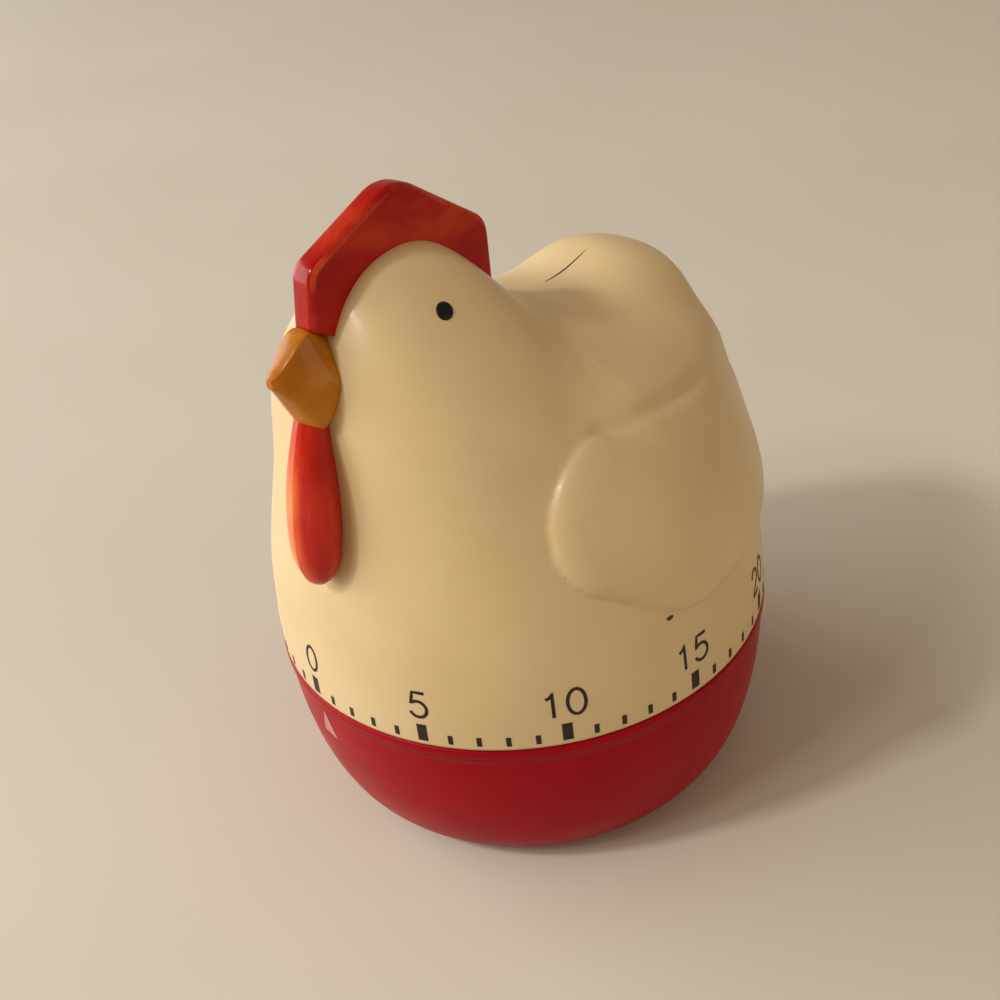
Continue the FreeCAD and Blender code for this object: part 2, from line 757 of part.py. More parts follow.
upper_top = "Sizes.upper_plate_low + Sizes.plate_thick"
plate_screws = []
for word in PILLARS:
    shank = rod("PlateShank_" + word, "Sizes.screw_radius", "Sizes.upper_plate_low - 3",
                upper_top + " + 0.5", pillar_x(word), pillar_y(word))
    head = rod("PlateHead_" + word, "Sizes.screw_head_radius", upper_top,
               upper_top + " + Sizes.screw_head_thick", pillar_x(word), pillar_y(word))
    slot = bar("PlateSlot_" + word, "5", "Sizes.slot_width", "Sizes.slot_width",
               pillar_x(word) + " - 2.5", pillar_y(word),
               upper_top + " + Sizes.screw_head_thick - Sizes.slot_depth")
    plate_screws.append(cut("PlateScrew_" + word, fuse("PlateBlank_" + word, [shank, head]), slot))
node(group("PlateScrews", plate_screws), "plate_screws")

# ------------------------------------------------------------ bell, its post and screw

node(sketched_ring("Bell", [
    ("Sizes.bell_bore", "Sizes.bell_top - Sizes.bell_wall"),
    ("Sizes.bell_shoulder - 0.4", "Sizes.bell_top - Sizes.bell_wall"),
    ("Sizes.bell_radius - Sizes.bell_wall", "Sizes.bell_top - Sizes.bell_shoulder_drop - 0.4"),
    ("Sizes.bell_radius - Sizes.bell_wall", "Sizes.bell_low"),
    ("Sizes.bell_radius", "Sizes.bell_low"),
    ("Sizes.bell_radius", "Sizes.bell_top - Sizes.bell_shoulder_drop"),
    ("Sizes.bell_shoulder", "Sizes.bell_top"), ("Sizes.bell_bore", "Sizes.bell_top"),
]), "bell")
bell_post = rod("BellSpacer", "Sizes.bell_spacer_radius", "Sizes.bell_top", "Sizes.lower_plate_low")
bell_post_bore = rod("BellSpacerBore", "Sizes.bell_screw_radius + Sizes.screw_play",
                     "Sizes.bell_top - 1", "Sizes.lower_plate_low + 1")
node(cut("BellPost", bell_post, bell_post_bore), "bell_post")
bell_shank = rod("BellShank", "Sizes.bell_screw_radius", "Sizes.bell_top - 0.9",
                 "Sizes.lower_plate_low - 0.1")
bell_head = rod("BellHead", "Sizes.bell_head_radius", "Sizes.bell_top - 1.7",
                "Sizes.bell_top - Sizes.bell_wall")
bell_slot = bar("BellSlot", "5", "Sizes.slot_width", "Sizes.slot_width", "-2.5", "0",
                "Sizes.bell_top - 1.85")
node(cut("BellScrew", fuse("BellScrewBlank", [bell_shank, bell_head]), bell_slot), "bell_screw")

# ------------------------------------------------------------ mainspring and its anchor


def spiral_strip(inner, outer, strip, turns, height, level, first_angle):
    """Flat coiled strip: two spiral curves joined by short ends, pushed up to its height."""
    steps = int(turns * 24)
    inner_side = []
    outer_side = []
    for step in range(steps + 1):
        share = step / float(steps)
        angle = math.radians(first_angle + 360.0 * turns * share)
        radius = inner + (outer - inner) * share
        inner_side.append(Vector(radius * math.cos(angle), radius * math.sin(angle), level))
        radius += strip
        outer_side.append(Vector(radius * math.cos(angle), radius * math.sin(angle), level))
    inner_curve = Part.BSplineCurve()
    inner_curve.interpolate(inner_side)
    outer_curve = Part.BSplineCurve()
    outer_curve.interpolate(outer_side)
    edges = [inner_curve.toShape(), Part.makeLine(inner_side[-1], outer_side[-1]),
             outer_curve.toShape(), Part.makeLine(outer_side[0], inner_side[0])]
    wire = Part.Wire(Part.__sortEdges__(edges))
    return Part.Face(wire).extrude(Vector(0, 0, height))


ANCHOR_ANGLE = 255.0
spring_first = ANCHOR_ANGLE - 360.0 * size("spring_turns")
node(fixed_shape("Mainspring", spiral_strip(
    size("spring_inner"), size("spring_outer"), size("spring_strip"), size("spring_turns"),
    size("spring_height"), size("spring_low"), spring_first)), "mainspring")
anchor_x, anchor_y = polar(size("spring_outer") + size("spring_strip") + 0.85, ANCHOR_ANGLE)
node(rod("SpringAnchor", "0.8", "Sizes.spring_low - 0.3", "Sizes.upper_plate_low",
         "%.4f" % anchor_x, "%.4f" % anchor_y), "spring_anchor")

# ------------------------------------------------------------ gears


def involute(value):
    return math.tan(value) - value


def gear_outline(teeth, module, tip, root, phase, play):
    """Outline of an involute gear; tip and root are multiples of the module."""
    pitch = 0.5 * module * teeth
    pressure = math.radians(20.0)
    base = pitch * math.cos(pressure)
    tip_radius = pitch + tip * module
    root_radius = pitch - root * module
    half_tooth = 0.5 * math.pi / teeth - 0.5 * play / pitch
    points = []
    for tooth in range(int(teeth)):
        middle = math.radians(phase) + 2.0 * math.pi * tooth / teeth
        flank = []
        start = max(base, root_radius)
        for step in range(5):
            radius = start + (tip_radius - start) * step / 4.0
            angle_at = math.acos(min(1.0, base / radius))
            spread = half_tooth + involute(pressure) - involute(angle_at)
            flank.append((radius, spread))
        rise = []
        if root_radius < start - 1e-6:
            rise.append((root_radius, flank[0][1]))
        rise += flank
        for radius, spread in rise:
            points.append(polar_vector(radius, middle - spread))
        for radius, spread in reversed(rise):
            points.append(polar_vector(radius, middle + spread))
    return points


def polar_vector(radius, angle):
    return Vector(radius * math.cos(angle), radius * math.sin(angle), 0)


WHEEL = {"tip": 0.6, "root": 1.15}
LEAVES = {"tip": 0.9, "root": 1.2}
SHORT_LEAVES = {"tip": 0.85, "root": 1.2}
TOOTH_PLAY = 0.05


def gear_solid(teeth, module, form, phase, low, high, bore=0.0, windows=0):
    """Gear between two levels; form gives its tooth heights as multiples of the module."""
    outline = gear_outline(teeth, module, form["tip"], form["root"], phase, TOOTH_PLAY)
    face = Part.Face(Part.makePolygon(outline + outline[:1]))
    solid = face.extrude(Vector(0, 0, high - low))
    if bore > 0.0:
        solid = solid.cut(Part.makeCylinder(bore, high - low + 2.0, Vector(0, 0, -1)))
    if windows:
        pitch = 0.5 * module * teeth
        hole = 0.27 * pitch
        for window in range(windows):
            x, y = polar(0.56 * pitch, 360.0 * (window + 0.5) / windows)
            solid = solid.cut(Part.makeCylinder(hole, high - low + 2.0, Vector(x, y, -1)))
    solid.translate(Vector(0, 0, low))
    return solid


def facing(teeth, degrees, gap):
    """Phase that puts a tooth (gap False) or a gap (gap True) of a gear at a direction."""
    return degrees + (180.0 / teeth if gap else 0.0)


def placed(solid, place_name):
    x, y = PLACES[place_name]
    solid.translate(Vector(x, y, 0))
    return solid


def direction(place_from, place_to):
    x = PLACES[place_to][0] - PLACES[place_from][0]
    y = PLACES[place_to][1] - PLACES[place_from][1]
    return math.degrees(math.atan2(y, x))


thick = size("gear_thick")
wheel_thick = size("wheel_thick")
overhang = size("leaf_overhang")
great_low = size("great_level")
second_low = size("second_level")
third_low = size("third_level")
escape_low = size("escape_level")

great = gear_solid(size("great_teeth"), size("great_module"), WHEEL,
                   facing(size("great_teeth"), second_angle, False), great_low,
                   great_low + thick, bore=size("arbor_radius"))
x_click, y_click = PLACES["click"]
CLICK_PIN_RADIUS = 0.6
GREAT_WINDOW_ORBIT = 8.4
GREAT_WINDOW_RADIUS = 2.4
great = great.cut(Part.makeCylinder(CLICK_PIN_RADIUS, 4.0,
                                    Vector(x_click, y_click, great_low - 1)))
for window_angle in (45.0, 225.0, 315.0):
    hole_x, hole_y = polar(GREAT_WINDOW_ORBIT, window_angle)
    great = great.cut(Part.makeCylinder(GREAT_WINDOW_RADIUS, 4.0,
                                        Vector(hole_x, hole_y, great_low - 1)))
node(fixed_shape("GreatWheel", great), "great_wheel")


def arbor_solid(place_name, pinion, body_radius):
    """Arbor with both pivots and its pinion cut from one piece."""
    low = size("lower_plate_low")
    high = size("upper_plate_low") + size("plate_thick")
    play = 0.12
    inner_low = low + size("plate_thick") + play
    inner_high = size("upper_plate_low") - play
    solid = Part.makeCylinder(size("pivot_radius"), high - low - 0.1, Vector(0, 0, low + 0.1))
    shaft = Part.makeCylinder(body_radius, inner_high - inner_low, Vector(0, 0, inner_low))
    solid = placed(solid.fuse(shaft), place_name)
    if pinion is not None:
        solid = solid.fuse(pinion)
    return solid.removeSplitter()


pinion_gap = facing(size("second_pinion_teeth"), second_angle + 180.0, True)
second_leaves = placed(gear_solid(
    size("second_pinion_teeth"), size("great_module"), LEAVES, pinion_gap,
    great_low - overhang, great_low + thick + overhang), "second")
node(fixed_shape("SecondPinion", arbor_solid(
    "second", second_leaves, size("second_arbor_radius"))), "second_pinion")
toward_third = direction("second", "third")
node(fixed_shape("SecondWheel", placed(gear_solid(
    size("second_teeth"), size("second_module"), WHEEL,
    facing(size("second_teeth"), toward_third, False), second_low, second_low + wheel_thick,
    bore=size("second_arbor_radius"), windows=4), "second")), "second_wheel")

third_leaves = placed(gear_solid(
    size("third_pinion_teeth"), size("second_module"), LEAVES,
    facing(size("third_pinion_teeth"), toward_third + 180.0, True), second_low - overhang,
    second_low + wheel_thick + overhang), "third")
node(fixed_shape("ThirdPinion", arbor_solid(
    "third", third_leaves, size("third_arbor_radius"))), "third_pinion")
toward_escape = direction("third", "escape")
node(fixed_shape("ThirdWheel", placed(gear_solid(
    size("third_teeth"), size("third_module"), WHEEL,
    facing(size("third_teeth"), toward_escape, False), third_low, third_low + wheel_thick,
    bore=size("third_arbor_radius"), windows=4), "third")), "third_wheel")

escape_leaves = placed(gear_solid(
    size("escape_pinion_teeth"), size("third_module"), SHORT_LEAVES,
    facing(size("escape_pinion_teeth"), toward_escape + 180.0, True), third_low - overhang,
    third_low + wheel_thick + overhang), "escape")
node(fixed_shape("EscapePinion", arbor_solid(
    "escape", escape_leaves, size("escape_arbor_radius"))), "escape_pinion")


def saw_solid(teeth, radius, depth, low, high, bore):
    """Wheel of hooked teeth for the escapement and the ratchet."""
    pitch = 2.0 * math.pi / teeth
    outline = []
    for tooth in range(int(teeth)):
        start = pitch * tooth
        outline.append(polar_vector(radius, start))
        outline.append(polar_vector(radius, start + 0.12 * pitch))
        outline.append(polar_vector(radius - depth, start + 0.9 * pitch))
    face = Part.Face(Part.makePolygon(outline + outline[:1]))
    solid = face.extrude(Vector(0, 0, high - low))
    solid = solid.cut(Part.makeCylinder(bore, high - low + 2.0, Vector(0, 0, -1)))
    solid.translate(Vector(0, 0, low))
    return solid


node(fixed_shape("EscapeWheel", placed(saw_solid(
    size("escape_teeth"), size("escape_radius"), 0.8, escape_low, escape_low + wheel_thick,
    size("escape_arbor_radius")), "escape")), "escape_wheel")

# ------------------------------------------------------------ balance and pallet

node(fixed_shape("BalanceArbor", arbor_solid(
    "balance", None, size("escape_arbor_radius"))), "balance_arbor")
balance_low = "Sizes.balance_level"
rim_out = rod("BalanceRim", "Sizes.balance_radius", balance_low, balance_low + " + 1.0",
              "Sizes.balance_x", "Sizes.balance_y")
rim_in = rod("BalanceInside", "Sizes.balance_radius - 1.0", balance_low + " - 1",
             balance_low + " + 2", "Sizes.balance_x", "Sizes.balance_y")
rim = cut("BalanceRing", rim_out, rim_in)
spoke = bar("BalanceSpoke", "2 * Sizes.balance_radius - 1", "1.0", "0.8",
            "Sizes.balance_x - Sizes.balance_radius + 0.5", "Sizes.balance_y", balance_low)
balance_hub = rod("BalanceHub", "1.6", balance_low, balance_low + " + 1.0", "Sizes.balance_x",
                  "Sizes.balance_y")
balance_bore = rod("BalanceBore", "Sizes.escape_arbor_radius", balance_low + " - 1", balance_low + " + 2",
                   "Sizes.balance_x", "Sizes.balance_y")
node(cut("BalanceWheel", fuse("BalanceBlank", [rim, spoke, balance_hub]), balance_bore),
     "balance_wheel")


FORK_THICK = 0.7
FORK_PIN_TURN = 52.0


def pallet_solid():
    """Small fork with two pins that stand astride the escape wheel's teeth."""
    low = escape_low - 0.9
    x_b, y_b = PLACES["balance"]
    x_e, y_e = PLACES["escape"]
    aim = math.atan2(y_e - y_b, x_e - x_b)
    reach = size("balance_gap")
    solid = Part.makeCylinder(1.5, FORK_THICK, Vector(0, 0, low))
    pin_orbit = size("escape_radius") + 1.35
    for side in (1.0, -1.0):
        swing = side * math.radians(FORK_PIN_TURN)
        pin_x = reach - pin_orbit * math.cos(swing)
        pin_y = pin_orbit * math.sin(swing)
        length = math.hypot(pin_x, pin_y)
        arm = Part.makeBox(length, 0.8, FORK_THICK, Vector(0, -0.4, low))
        arm.rotate(Vector(0, 0, 0), Vector(0, 0, 1), math.degrees(math.atan2(pin_y, pin_x)))
        pad = Part.makeCylinder(0.5, FORK_THICK, Vector(pin_x, pin_y, low))
        pin = Part.makeCylinder(0.3, 1.9, Vector(pin_x, pin_y, low))
        solid = solid.fuse(arm).fuse(pad).fuse(pin)
    solid = solid.cut(Part.makeCylinder(size("escape_arbor_radius"), 4.0,
                                        Vector(0, 0, low - 1)))
    solid.rotate(Vector(0, 0, 0), Vector(0, 0, 1), math.degrees(aim))
    solid.translate(Vector(x_b, y_b, 0))
    return solid.removeSplitter()


node(fixed_shape("PalletFork", pallet_solid()), "pallet_fork")

# ------------------------------------------------------------ main arbor, ratchet and click

main_low = rod("MainPivot", "0.8", "Sizes.lower_plate_low + 0.1", "Sizes.great_level - 0.4")
main_shaft = rod("MainShaft", "Sizes.arbor_radius", plate_top + " + 0.15", "Sizes.hub_top")
spring_collar = rod("SpringCollar", "Sizes.collar_radius", "Sizes.spring_low - 0.6",
                    "Sizes.spring_low + Sizes.spring_height + 0.3")
main_solid = fuse("MainArborBlank", [main_low, main_shaft, spring_collar])
arbor_thread = rod("ArborThread", "0.8", "Sizes.hub_top - 4", "Sizes.hub_top + 1")
node(cut("MainArbor", main_solid, arbor_thread), "main_arbor")
node(fixed_shape("RatchetWheel", saw_solid(
    size("ratchet_teeth"), size("ratchet_radius"), 0.9, size("ratchet_level"),
    size("ratchet_level") + 1.0, size("arbor_radius"))), "ratchet_wheel")

click_low = size("ratchet_level")
click_pin = Part.makeCylinder(CLICK_PIN_RADIUS, thick + 1.5, Vector(x_click, y_click, great_low))
click_cap = Part.makeCylinder(0.95, 0.25, Vector(x_click, y_click, click_low + 1.05))
node(fixed_shape("ClickPin", click_pin.fuse(click_cap).removeSplitter()), "click_pin")
click_shape = Part.makeCylinder(1.1, 0.9, Vector(0, 0, click_low + 0.02))
click_beam = Part.makePolygon([Vector(0.61, -0.67, 0), Vector(3.54, 2.74, 0),
                               Vector(3.06, 3.26, 0), Vector(-0.61, 0.67, 0),
                               Vector(0.61, -0.67, 0)])
click_beam = Part.Face(click_beam).extrude(Vector(0, 0, 0.9))
click_beam.translate(Vector(0, 0, click_low + 0.02))
click_shape = click_shape.fuse(click_beam)
click_shape = click_shape.cut(Part.makeCylinder(
    CLICK_PIN_RADIUS + size("pivot_clearance"), 4.0, Vector(0, 0, click_low - 1)))
click_shape.rotate(Vector(0, 0, 0), Vector(0, 0, 1), 225.0)
click_shape.translate(Vector(x_click, y_click, 0))
node(fixed_shape("ClickPawl", click_shape.removeSplitter()), "click_pawl")

# ------------------------------------------------------------ drive disc and zero cam

disc_top = "Sizes.disc_low + Sizes.disc_thick"
disc_body = sketched_ring("DriveDisc", [
    ("Sizes.arbor_radius", "Sizes.hub_low"), ("Sizes.hub_radius", "Sizes.hub_low"),
    ("Sizes.hub_radius", "Sizes.disc_low"), ("Sizes.skirt_inner", "Sizes.disc_low"),
    ("Sizes.skirt_inner", "Sizes.skirt_low"), ("Sizes.skirt_outer", "Sizes.skirt_low"),
    ("Sizes.skirt_outer", "Sizes.disc_low"), ("Sizes.disc_radius", "Sizes.disc_low"),
    ("Sizes.disc_radius", disc_top), ("Sizes.hub_radius", disc_top),
    ("Sizes.hub_radius", "Sizes.hub_top"), ("Sizes.arbor_radius", "Sizes.hub_top"),
])
node(disc_body, "drive_disc")
arbor_shank = rod("ArborShank", "0.78", "Sizes.hub_top - 3.6", "Sizes.hub_top + 0.5")
arbor_head = rod("ArborHead", "2.6", "Sizes.hub_top", "Sizes.hub_top + 1.3")
arbor_slot = bar("ArborSlot", "6", "0.6", "0.8", "-3", "0", "Sizes.hub_top + 0.8")
node(cut("ArborScrew", fuse("ArborScrewBlank", [arbor_shank, arbor_head]), arbor_slot),
     "arbor_screw")

CAM_LOW = size("trip_level")
cam_solid = Part.makeCylinder(size("cam_radius"), 0.9, Vector(0, 0, CAM_LOW))
NOTCH_FLOOR = 4.4
notch = Part.makePolygon([Vector(0, 0, 0), polar_vector(NOTCH_FLOOR, math.radians(257.0)),
                          polar_vector(8.0, math.radians(262.0)),
                          polar_vector(8.0, math.radians(300.0)),
                          polar_vector(5.2, math.radians(291.0)), Vector(0, 0, 0)])
notch = Part.Face(notch).extrude(Vector(0, 0, 3.0))
notch.translate(Vector(0, 0, CAM_LOW - 1))
notch = notch.cut(Part.makeCylinder(NOTCH_FLOOR, 5.0, Vector(0, 0, CAM_LOW - 2)))
cam_solid = cam_solid.cut(notch)
cam_solid = cam_solid.cut(Part.makeCylinder(size("arbor_radius"), 5.0, Vector(0, 0, CAM_LOW - 2)))
node(fixed_shape("ZeroCam", cam_solid), "zero_cam")

# ------------------------------------------------------------ hammer

x_h, y_h = PLACES["hammer"]
head_turn = turn_between(hammer_radius, size("hammer_head_orbit"), 6.5)
x_head, y_head = polar(size("hammer_head_orbit"), size("hammer_angle") + head_turn)
nose_orbit = size("cam_radius") + 0.85
nose_turn = math.degrees(math.acos(nose_orbit / hammer_radius))
x_nose, y_nose = polar(nose_orbit, size("hammer_angle") + nose_turn)


def lever(x_end, y_end, end_radius, root_radius, low, thickness, width):
    """Flat lever from the hammer arbor to a round end."""
    length = math.hypot(x_end - x_h, y_end - y_h)
    turn = math.degrees(math.atan2(y_end - y_h, x_end - x_h))
    arm = Part.makeBox(length, width, thickness, Vector(0, -0.5 * width, low))
    arm.rotate(Vector(0, 0, 0), Vector(0, 0, 1), turn)
    arm.translate(Vector(x_h, y_h, 0))
    boss = Part.makeCylinder(root_radius, thickness, Vector(x_h, y_h, low))
    tip = Part.makeCylinder(end_radius, thickness, Vector(x_end, y_end, low))
    solid = arm.fuse(boss).fuse(tip)
    bore = Part.makeCylinder(size("hammer_arbor_radius"), thickness + 2.0,
                             Vector(x_h, y_h, low - 1))
    return solid.cut(bore).removeSplitter()


arm_low = 4.0
head_low = 2.75
head_height = 1.15
LEVER_THICK = 0.8
BOSS_RADIUS = 1.6
STEM_RADIUS = 0.6
hammer_arm = lever(x_head, y_head, 0.9, BOSS_RADIUS, arm_low, LEVER_THICK, 1.2)
hammer_arm = hammer_arm.cut(Part.makeCylinder(STEM_RADIUS, 6.0, Vector(x_head, y_head, 1)))
node(fixed_shape("HammerArm", hammer_arm), "hammer_arm")
head_block = Part.makeCylinder(size("hammer_head_radius"), head_height,
                               Vector(x_head, y_head, head_low))
head_stem = Part.makeCylinder(STEM_RADIUS, arm_low + LEVER_THICK - head_low,
                              Vector(x_head, y_head, head_low))
node(fixed_shape("HammerHead", head_block.fuse(head_stem).removeSplitter()), "hammer_head")
trip_lever = lever(x_nose, y_nose, 0.5, BOSS_RADIUS, CAM_LOW, LEVER_THICK, 1.0)
node(fixed_shape("TripLever", trip_lever), "trip_lever")
shaft_low = arm_low - 0.2
hammer_shaft = Part.makeCylinder(size("hammer_arbor_radius"), CAM_LOW + 1.0 - shaft_low,
                                 Vector(x_h, y_h, shaft_low))
hammer_collar_low = size("lower_plate_low") + size("plate_thick") + 0.15
hammer_collar = Part.makeCylinder(1.5, 0.6, Vector(x_h, y_h, hammer_collar_low))
node(fixed_shape("HammerArbor", hammer_shaft.fuse(hammer_collar).removeSplitter()), "hammer_arbor")


def hammer_spring_solid():
    """Torsion spring wound round the hammer arbor, lofted through rings along its helix."""
    wire_radius = 0.22
    coil_radius = 1.35
    pitch = 0.75
    turns = 5
    rings = []
    for step in range(12 * turns + 1):
        turn = step / 12.0
        angle = 2.0 * math.pi * turn
        middle = Vector(coil_radius * math.cos(angle), coil_radius * math.sin(angle),
                        pitch * turn)
        along = Vector(-coil_radius * math.sin(angle), coil_radius * math.cos(angle),
                       pitch / (2.0 * math.pi))
        rings.append(Part.Wire([Part.makeCircle(wire_radius, middle, along)]))
    solid = Part.makeLoft(rings, True, False)
    solid.translate(Vector(x_h, y_h, hammer_collar_low + 2.0))
    return solid


node(fixed_shape("HammerSpring", hammer_spring_solid()), "hammer_spring")

# ------------------------------------------------------------ check and write

doc.recompute()
problems = []
for obj in doc.Objects:
    bad = [word for word in obj.State if word in ("Invalid", "Error")]
    if bad:
        problems.append("%s is %s" % (obj.Label, bad))
for obj in NODES:
    shape = obj.Shape
    if shape.isNull():
        problems.append(obj.Label + " is empty")
        continue
    if not shape.isValid():
        problems.append(obj.Label + " is not valid")
    if not shape.Solids:
        problems.append(obj.Label + " has no solid")
if problems:
    raise RuntimeError("; ".join(problems))
for obj in NODES:
    box = obj.Shape.BoundBox
    print("%-18s solids %d volume %9.2f  x %.2f %.2f  y %.2f %.2f  z %.2f %.2f" % (
        obj.Label, len(obj.Shape.Solids), obj.Shape.Volume, box.XMin, box.XMax, box.YMin,
        box.YMax, box.ZMin, box.ZMax))
    obj.Shape.exportStep("parts/%s.step" % obj.Label)
print("written", len(NODES))
for place_name in sorted(PLACES):
    print(place_name, "%.5f %.5f" % PLACES[place_name])
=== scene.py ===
import math

import bmesh
import bpy
from mathutils import Matrix, Vector


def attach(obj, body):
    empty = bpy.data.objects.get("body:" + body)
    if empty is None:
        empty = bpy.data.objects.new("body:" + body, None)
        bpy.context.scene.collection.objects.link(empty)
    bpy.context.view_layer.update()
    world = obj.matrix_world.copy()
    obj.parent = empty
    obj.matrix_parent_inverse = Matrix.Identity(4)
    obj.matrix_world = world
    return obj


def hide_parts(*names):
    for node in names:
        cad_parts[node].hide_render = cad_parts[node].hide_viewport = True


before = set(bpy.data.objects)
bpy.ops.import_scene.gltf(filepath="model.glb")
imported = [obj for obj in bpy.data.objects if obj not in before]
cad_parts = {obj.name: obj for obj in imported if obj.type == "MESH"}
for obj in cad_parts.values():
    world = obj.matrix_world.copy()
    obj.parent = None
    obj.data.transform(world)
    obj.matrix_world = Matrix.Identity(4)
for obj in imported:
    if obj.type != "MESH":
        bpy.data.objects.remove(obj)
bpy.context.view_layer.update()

MM = 0.001

# ------------------------------------------------------------ sizes, in millimetres
# The lobes, the bowl's profile, the camera and the eye's and fleck's places were worked out by
# separate programs from points read off the photo. The outlines of the comb, beak, wattle and
# wing started the same way and were then moved.

RIM_LEVEL = 24.15
SEAM_RADIUS = 33.0
SHELL_WALL = 2.0
CROWN_ANGLE = 87.9
CENTRE_Y = -6.0
TICK_LEVEL = 24.75
DIAL_TURN = -8.0
MINUTE = 6.0

BODY = {"radius": 33.0, "height": 40.34, "round": 2.3, "rise": 2.05}
HEAD = {"y": -13.4, "z": 57.26, "half": (18.28, 13.07, 20.78), "tilt": 0.08, "power": 2.2,
        "taper": 0.75}
TAIL = {"y": 21.79, "z": 45.36, "half": (13.12, 8.58, 19.08), "tilt": -0.12, "power": 2.5,
        "taper": 0.0}
BLEND = 0.3
# The head and tail lobes fade out below a level, each at its own rate.
LOBE_FOOT = 36.0
HEAD_FADE = 0.6
TAIL_FADE = 0.9
# Circles that the wing's outline runs round, front to rear: azimuth, level, radius.
WING_SPOTS = [(70.5, 49.3, 8.3), (88.0, 46.0, 10.2), (140.0, 45.0, 8.2)]
WING = {"scale": 28.0, "height": 1.9, "edge": 4.8, "groove": 0.55, "groove_half": 0.85,
        "shoulder_reach": 9.0}
# Azimuths where the wing's shoulder and the crease over it begin and end.
SHOULDER_START = 62.0
SHOULDER_RUN = 30.0
CREASE_START = 66.0
CREASE_RUN_IN = 10.0
CREASE_END = 134.0
CREASE_RUN_OUT = 24.0
# Halvings of a ray's length when it is brought onto the skin.
RAY_HALVINGS = 34


# ------------------------------------------------------------ hen surface

def lobe(x, y, z, shape):
    cosine = math.cos(shape["tilt"])
    sine = math.sin(shape["tilt"])
    along = (y - shape["y"]) * cosine + (z - shape["z"]) * sine
    above = (z - shape["z"]) * cosine - (y - shape["y"]) * sine
    half = shape["half"]
    power = shape["power"]
    narrowing = 1.0 + shape["taper"] * max(above / half[2], 0.0) ** 2
    total = abs(x * narrowing / half[0]) ** power + abs(along / half[1]) ** power
    total += abs(above / half[2]) ** power
    return (total ** (1.0 / power) - 1.0) * min(half)


def hen_level(x, y, z):
    """Negative inside the hen, zero on its smooth skin: dome, head and tail run together."""
    height = max(z - RIM_LEVEL, 0.0)
    dome = (math.hypot(x, y) / BODY["radius"]) ** BODY["round"]
    dome += (height / BODY["height"]) ** BODY["rise"]
    dome = (dome ** (1.0 / BODY["round"]) - 1.0) * BODY["radius"]
    low = max(LOBE_FOOT - z, 0.0)
    parts = (dome, lobe(x, y, z, HEAD) + HEAD_FADE * low, lobe(x, y, z, TAIL) + TAIL_FADE * low)
    least = min(parts)
    total = sum(math.exp(-BLEND * (part - least)) for part in parts)
    return least - math.log(total) / BLEND


def smooth_step(value):
    value = min(max(value, 0.0), 1.0)
    return value * value * (3.0 - 2.0 * value)


def wing_inside(azimuth, level):
    """How far inside the wing's outline a place is, and how squarely it lies over the wing."""
    scale = math.radians(WING["scale"])
    deepest = -math.inf
    upward = 0.0
    for front, rear in zip(WING_SPOTS, WING_SPOTS[1:]):
        step = ((rear[0] - front[0]) * scale, rear[1] - front[1])
        offset = ((azimuth - front[0]) * scale, level - front[1])
        share = (offset[0] * step[0] + offset[1] * step[1]) / (step[0] ** 2 + step[1] ** 2)
        share = min(max(share, 0.0), 1.0)
        across = (offset[0] - share * step[0], offset[1] - share * step[1])
        near = math.hypot(*across)
        inside = front[2] + share * (rear[2] - front[2]) - near
        if inside > deepest:
            deepest = inside
            upward = across[1] / near if near > 1e-6 else 0.0
    return deepest, upward


def wing_height(x, y, z):
    """Raised wing on each flank: a rounded step in front and below, a crease along its top."""
    azimuth = math.degrees(math.atan2(abs(x), -y))
    inside, upward = wing_inside(azimuth, z)
    rise = min(max(inside / WING["edge"], 0.0), 1.0)
    height = WING["height"] * math.sqrt(1.0 - (1.0 - rise) ** 2)
    over = smooth_step((upward - 0.5) / 0.4)
    top = over * smooth_step((azimuth - SHOULDER_START) / SHOULDER_RUN)
    fade = smooth_step(1.0 + min(inside, 0.0) / WING["shoulder_reach"])
    height = max(height, WING["height"] * top * fade)
    length = smooth_step((azimuth - CREASE_START) / CREASE_RUN_IN)
    length *= smooth_step((CREASE_END - azimuth) / CREASE_RUN_OUT)
    groove = WING["groove"] * over * length * math.exp(-(inside / WING["groove_half"]) ** 2)
    return height - groove


def along_ray(start, direction, low=0.0, high=90.0):
    """Point where a ray from inside the hen meets its smooth skin, without the wing."""
    for _ in range(RAY_HALVINGS):
        middle = 0.5 * (low + high)
        point = start + direction * middle
        if hen_level(point.x, point.y, point.z) < 0.0:
            low = middle
        else:
            high = middle
    return start + direction * low


def skin_point(azimuth, elevation):
    a = math.radians(azimuth)
    e = math.radians(elevation)
    direction = Vector((math.sin(a) * math.cos(e), -math.cos(a) * math.cos(e), math.sin(e)))
    point = along_ray(Vector((0, CENTRE_Y, RIM_LEVEL)), direction)
    return point + direction * wing_height(point.x, point.y, point.z)


def skin_radius(azimuth, level):
    """Distance of the smooth skin from the dial axis at a height."""
    a = math.radians(azimuth)
    outward = Vector((math.sin(a), -math.cos(a), 0))
    point = along_ray(Vector((0, 0, level)), outward)
    return math.hypot(point.x, point.y)


def skin_front(level):
    return -skin_radius(0.0, level)


# ------------------------------------------------------------ mesh helpers

def make_object(name, verts, faces, smooth=True):
    """Mesh object from points in millimetres."""
    mesh = bpy.data.meshes.new(name)
    mesh.from_pydata([(v[0] * MM, v[1] * MM, v[2] * MM) for v in verts], [], faces)
    mesh.validate()
    tidy = bmesh.new()
    tidy.from_mesh(mesh)
    bmesh.ops.recalc_face_normals(tidy, faces=tidy.faces)
    tidy.to_mesh(mesh)
    tidy.free()
    for polygon in mesh.polygons:
        polygon.use_smooth = smooth
    obj = bpy.data.objects.new(name, mesh)
    bpy.context.scene.collection.objects.link(obj)
    return obj


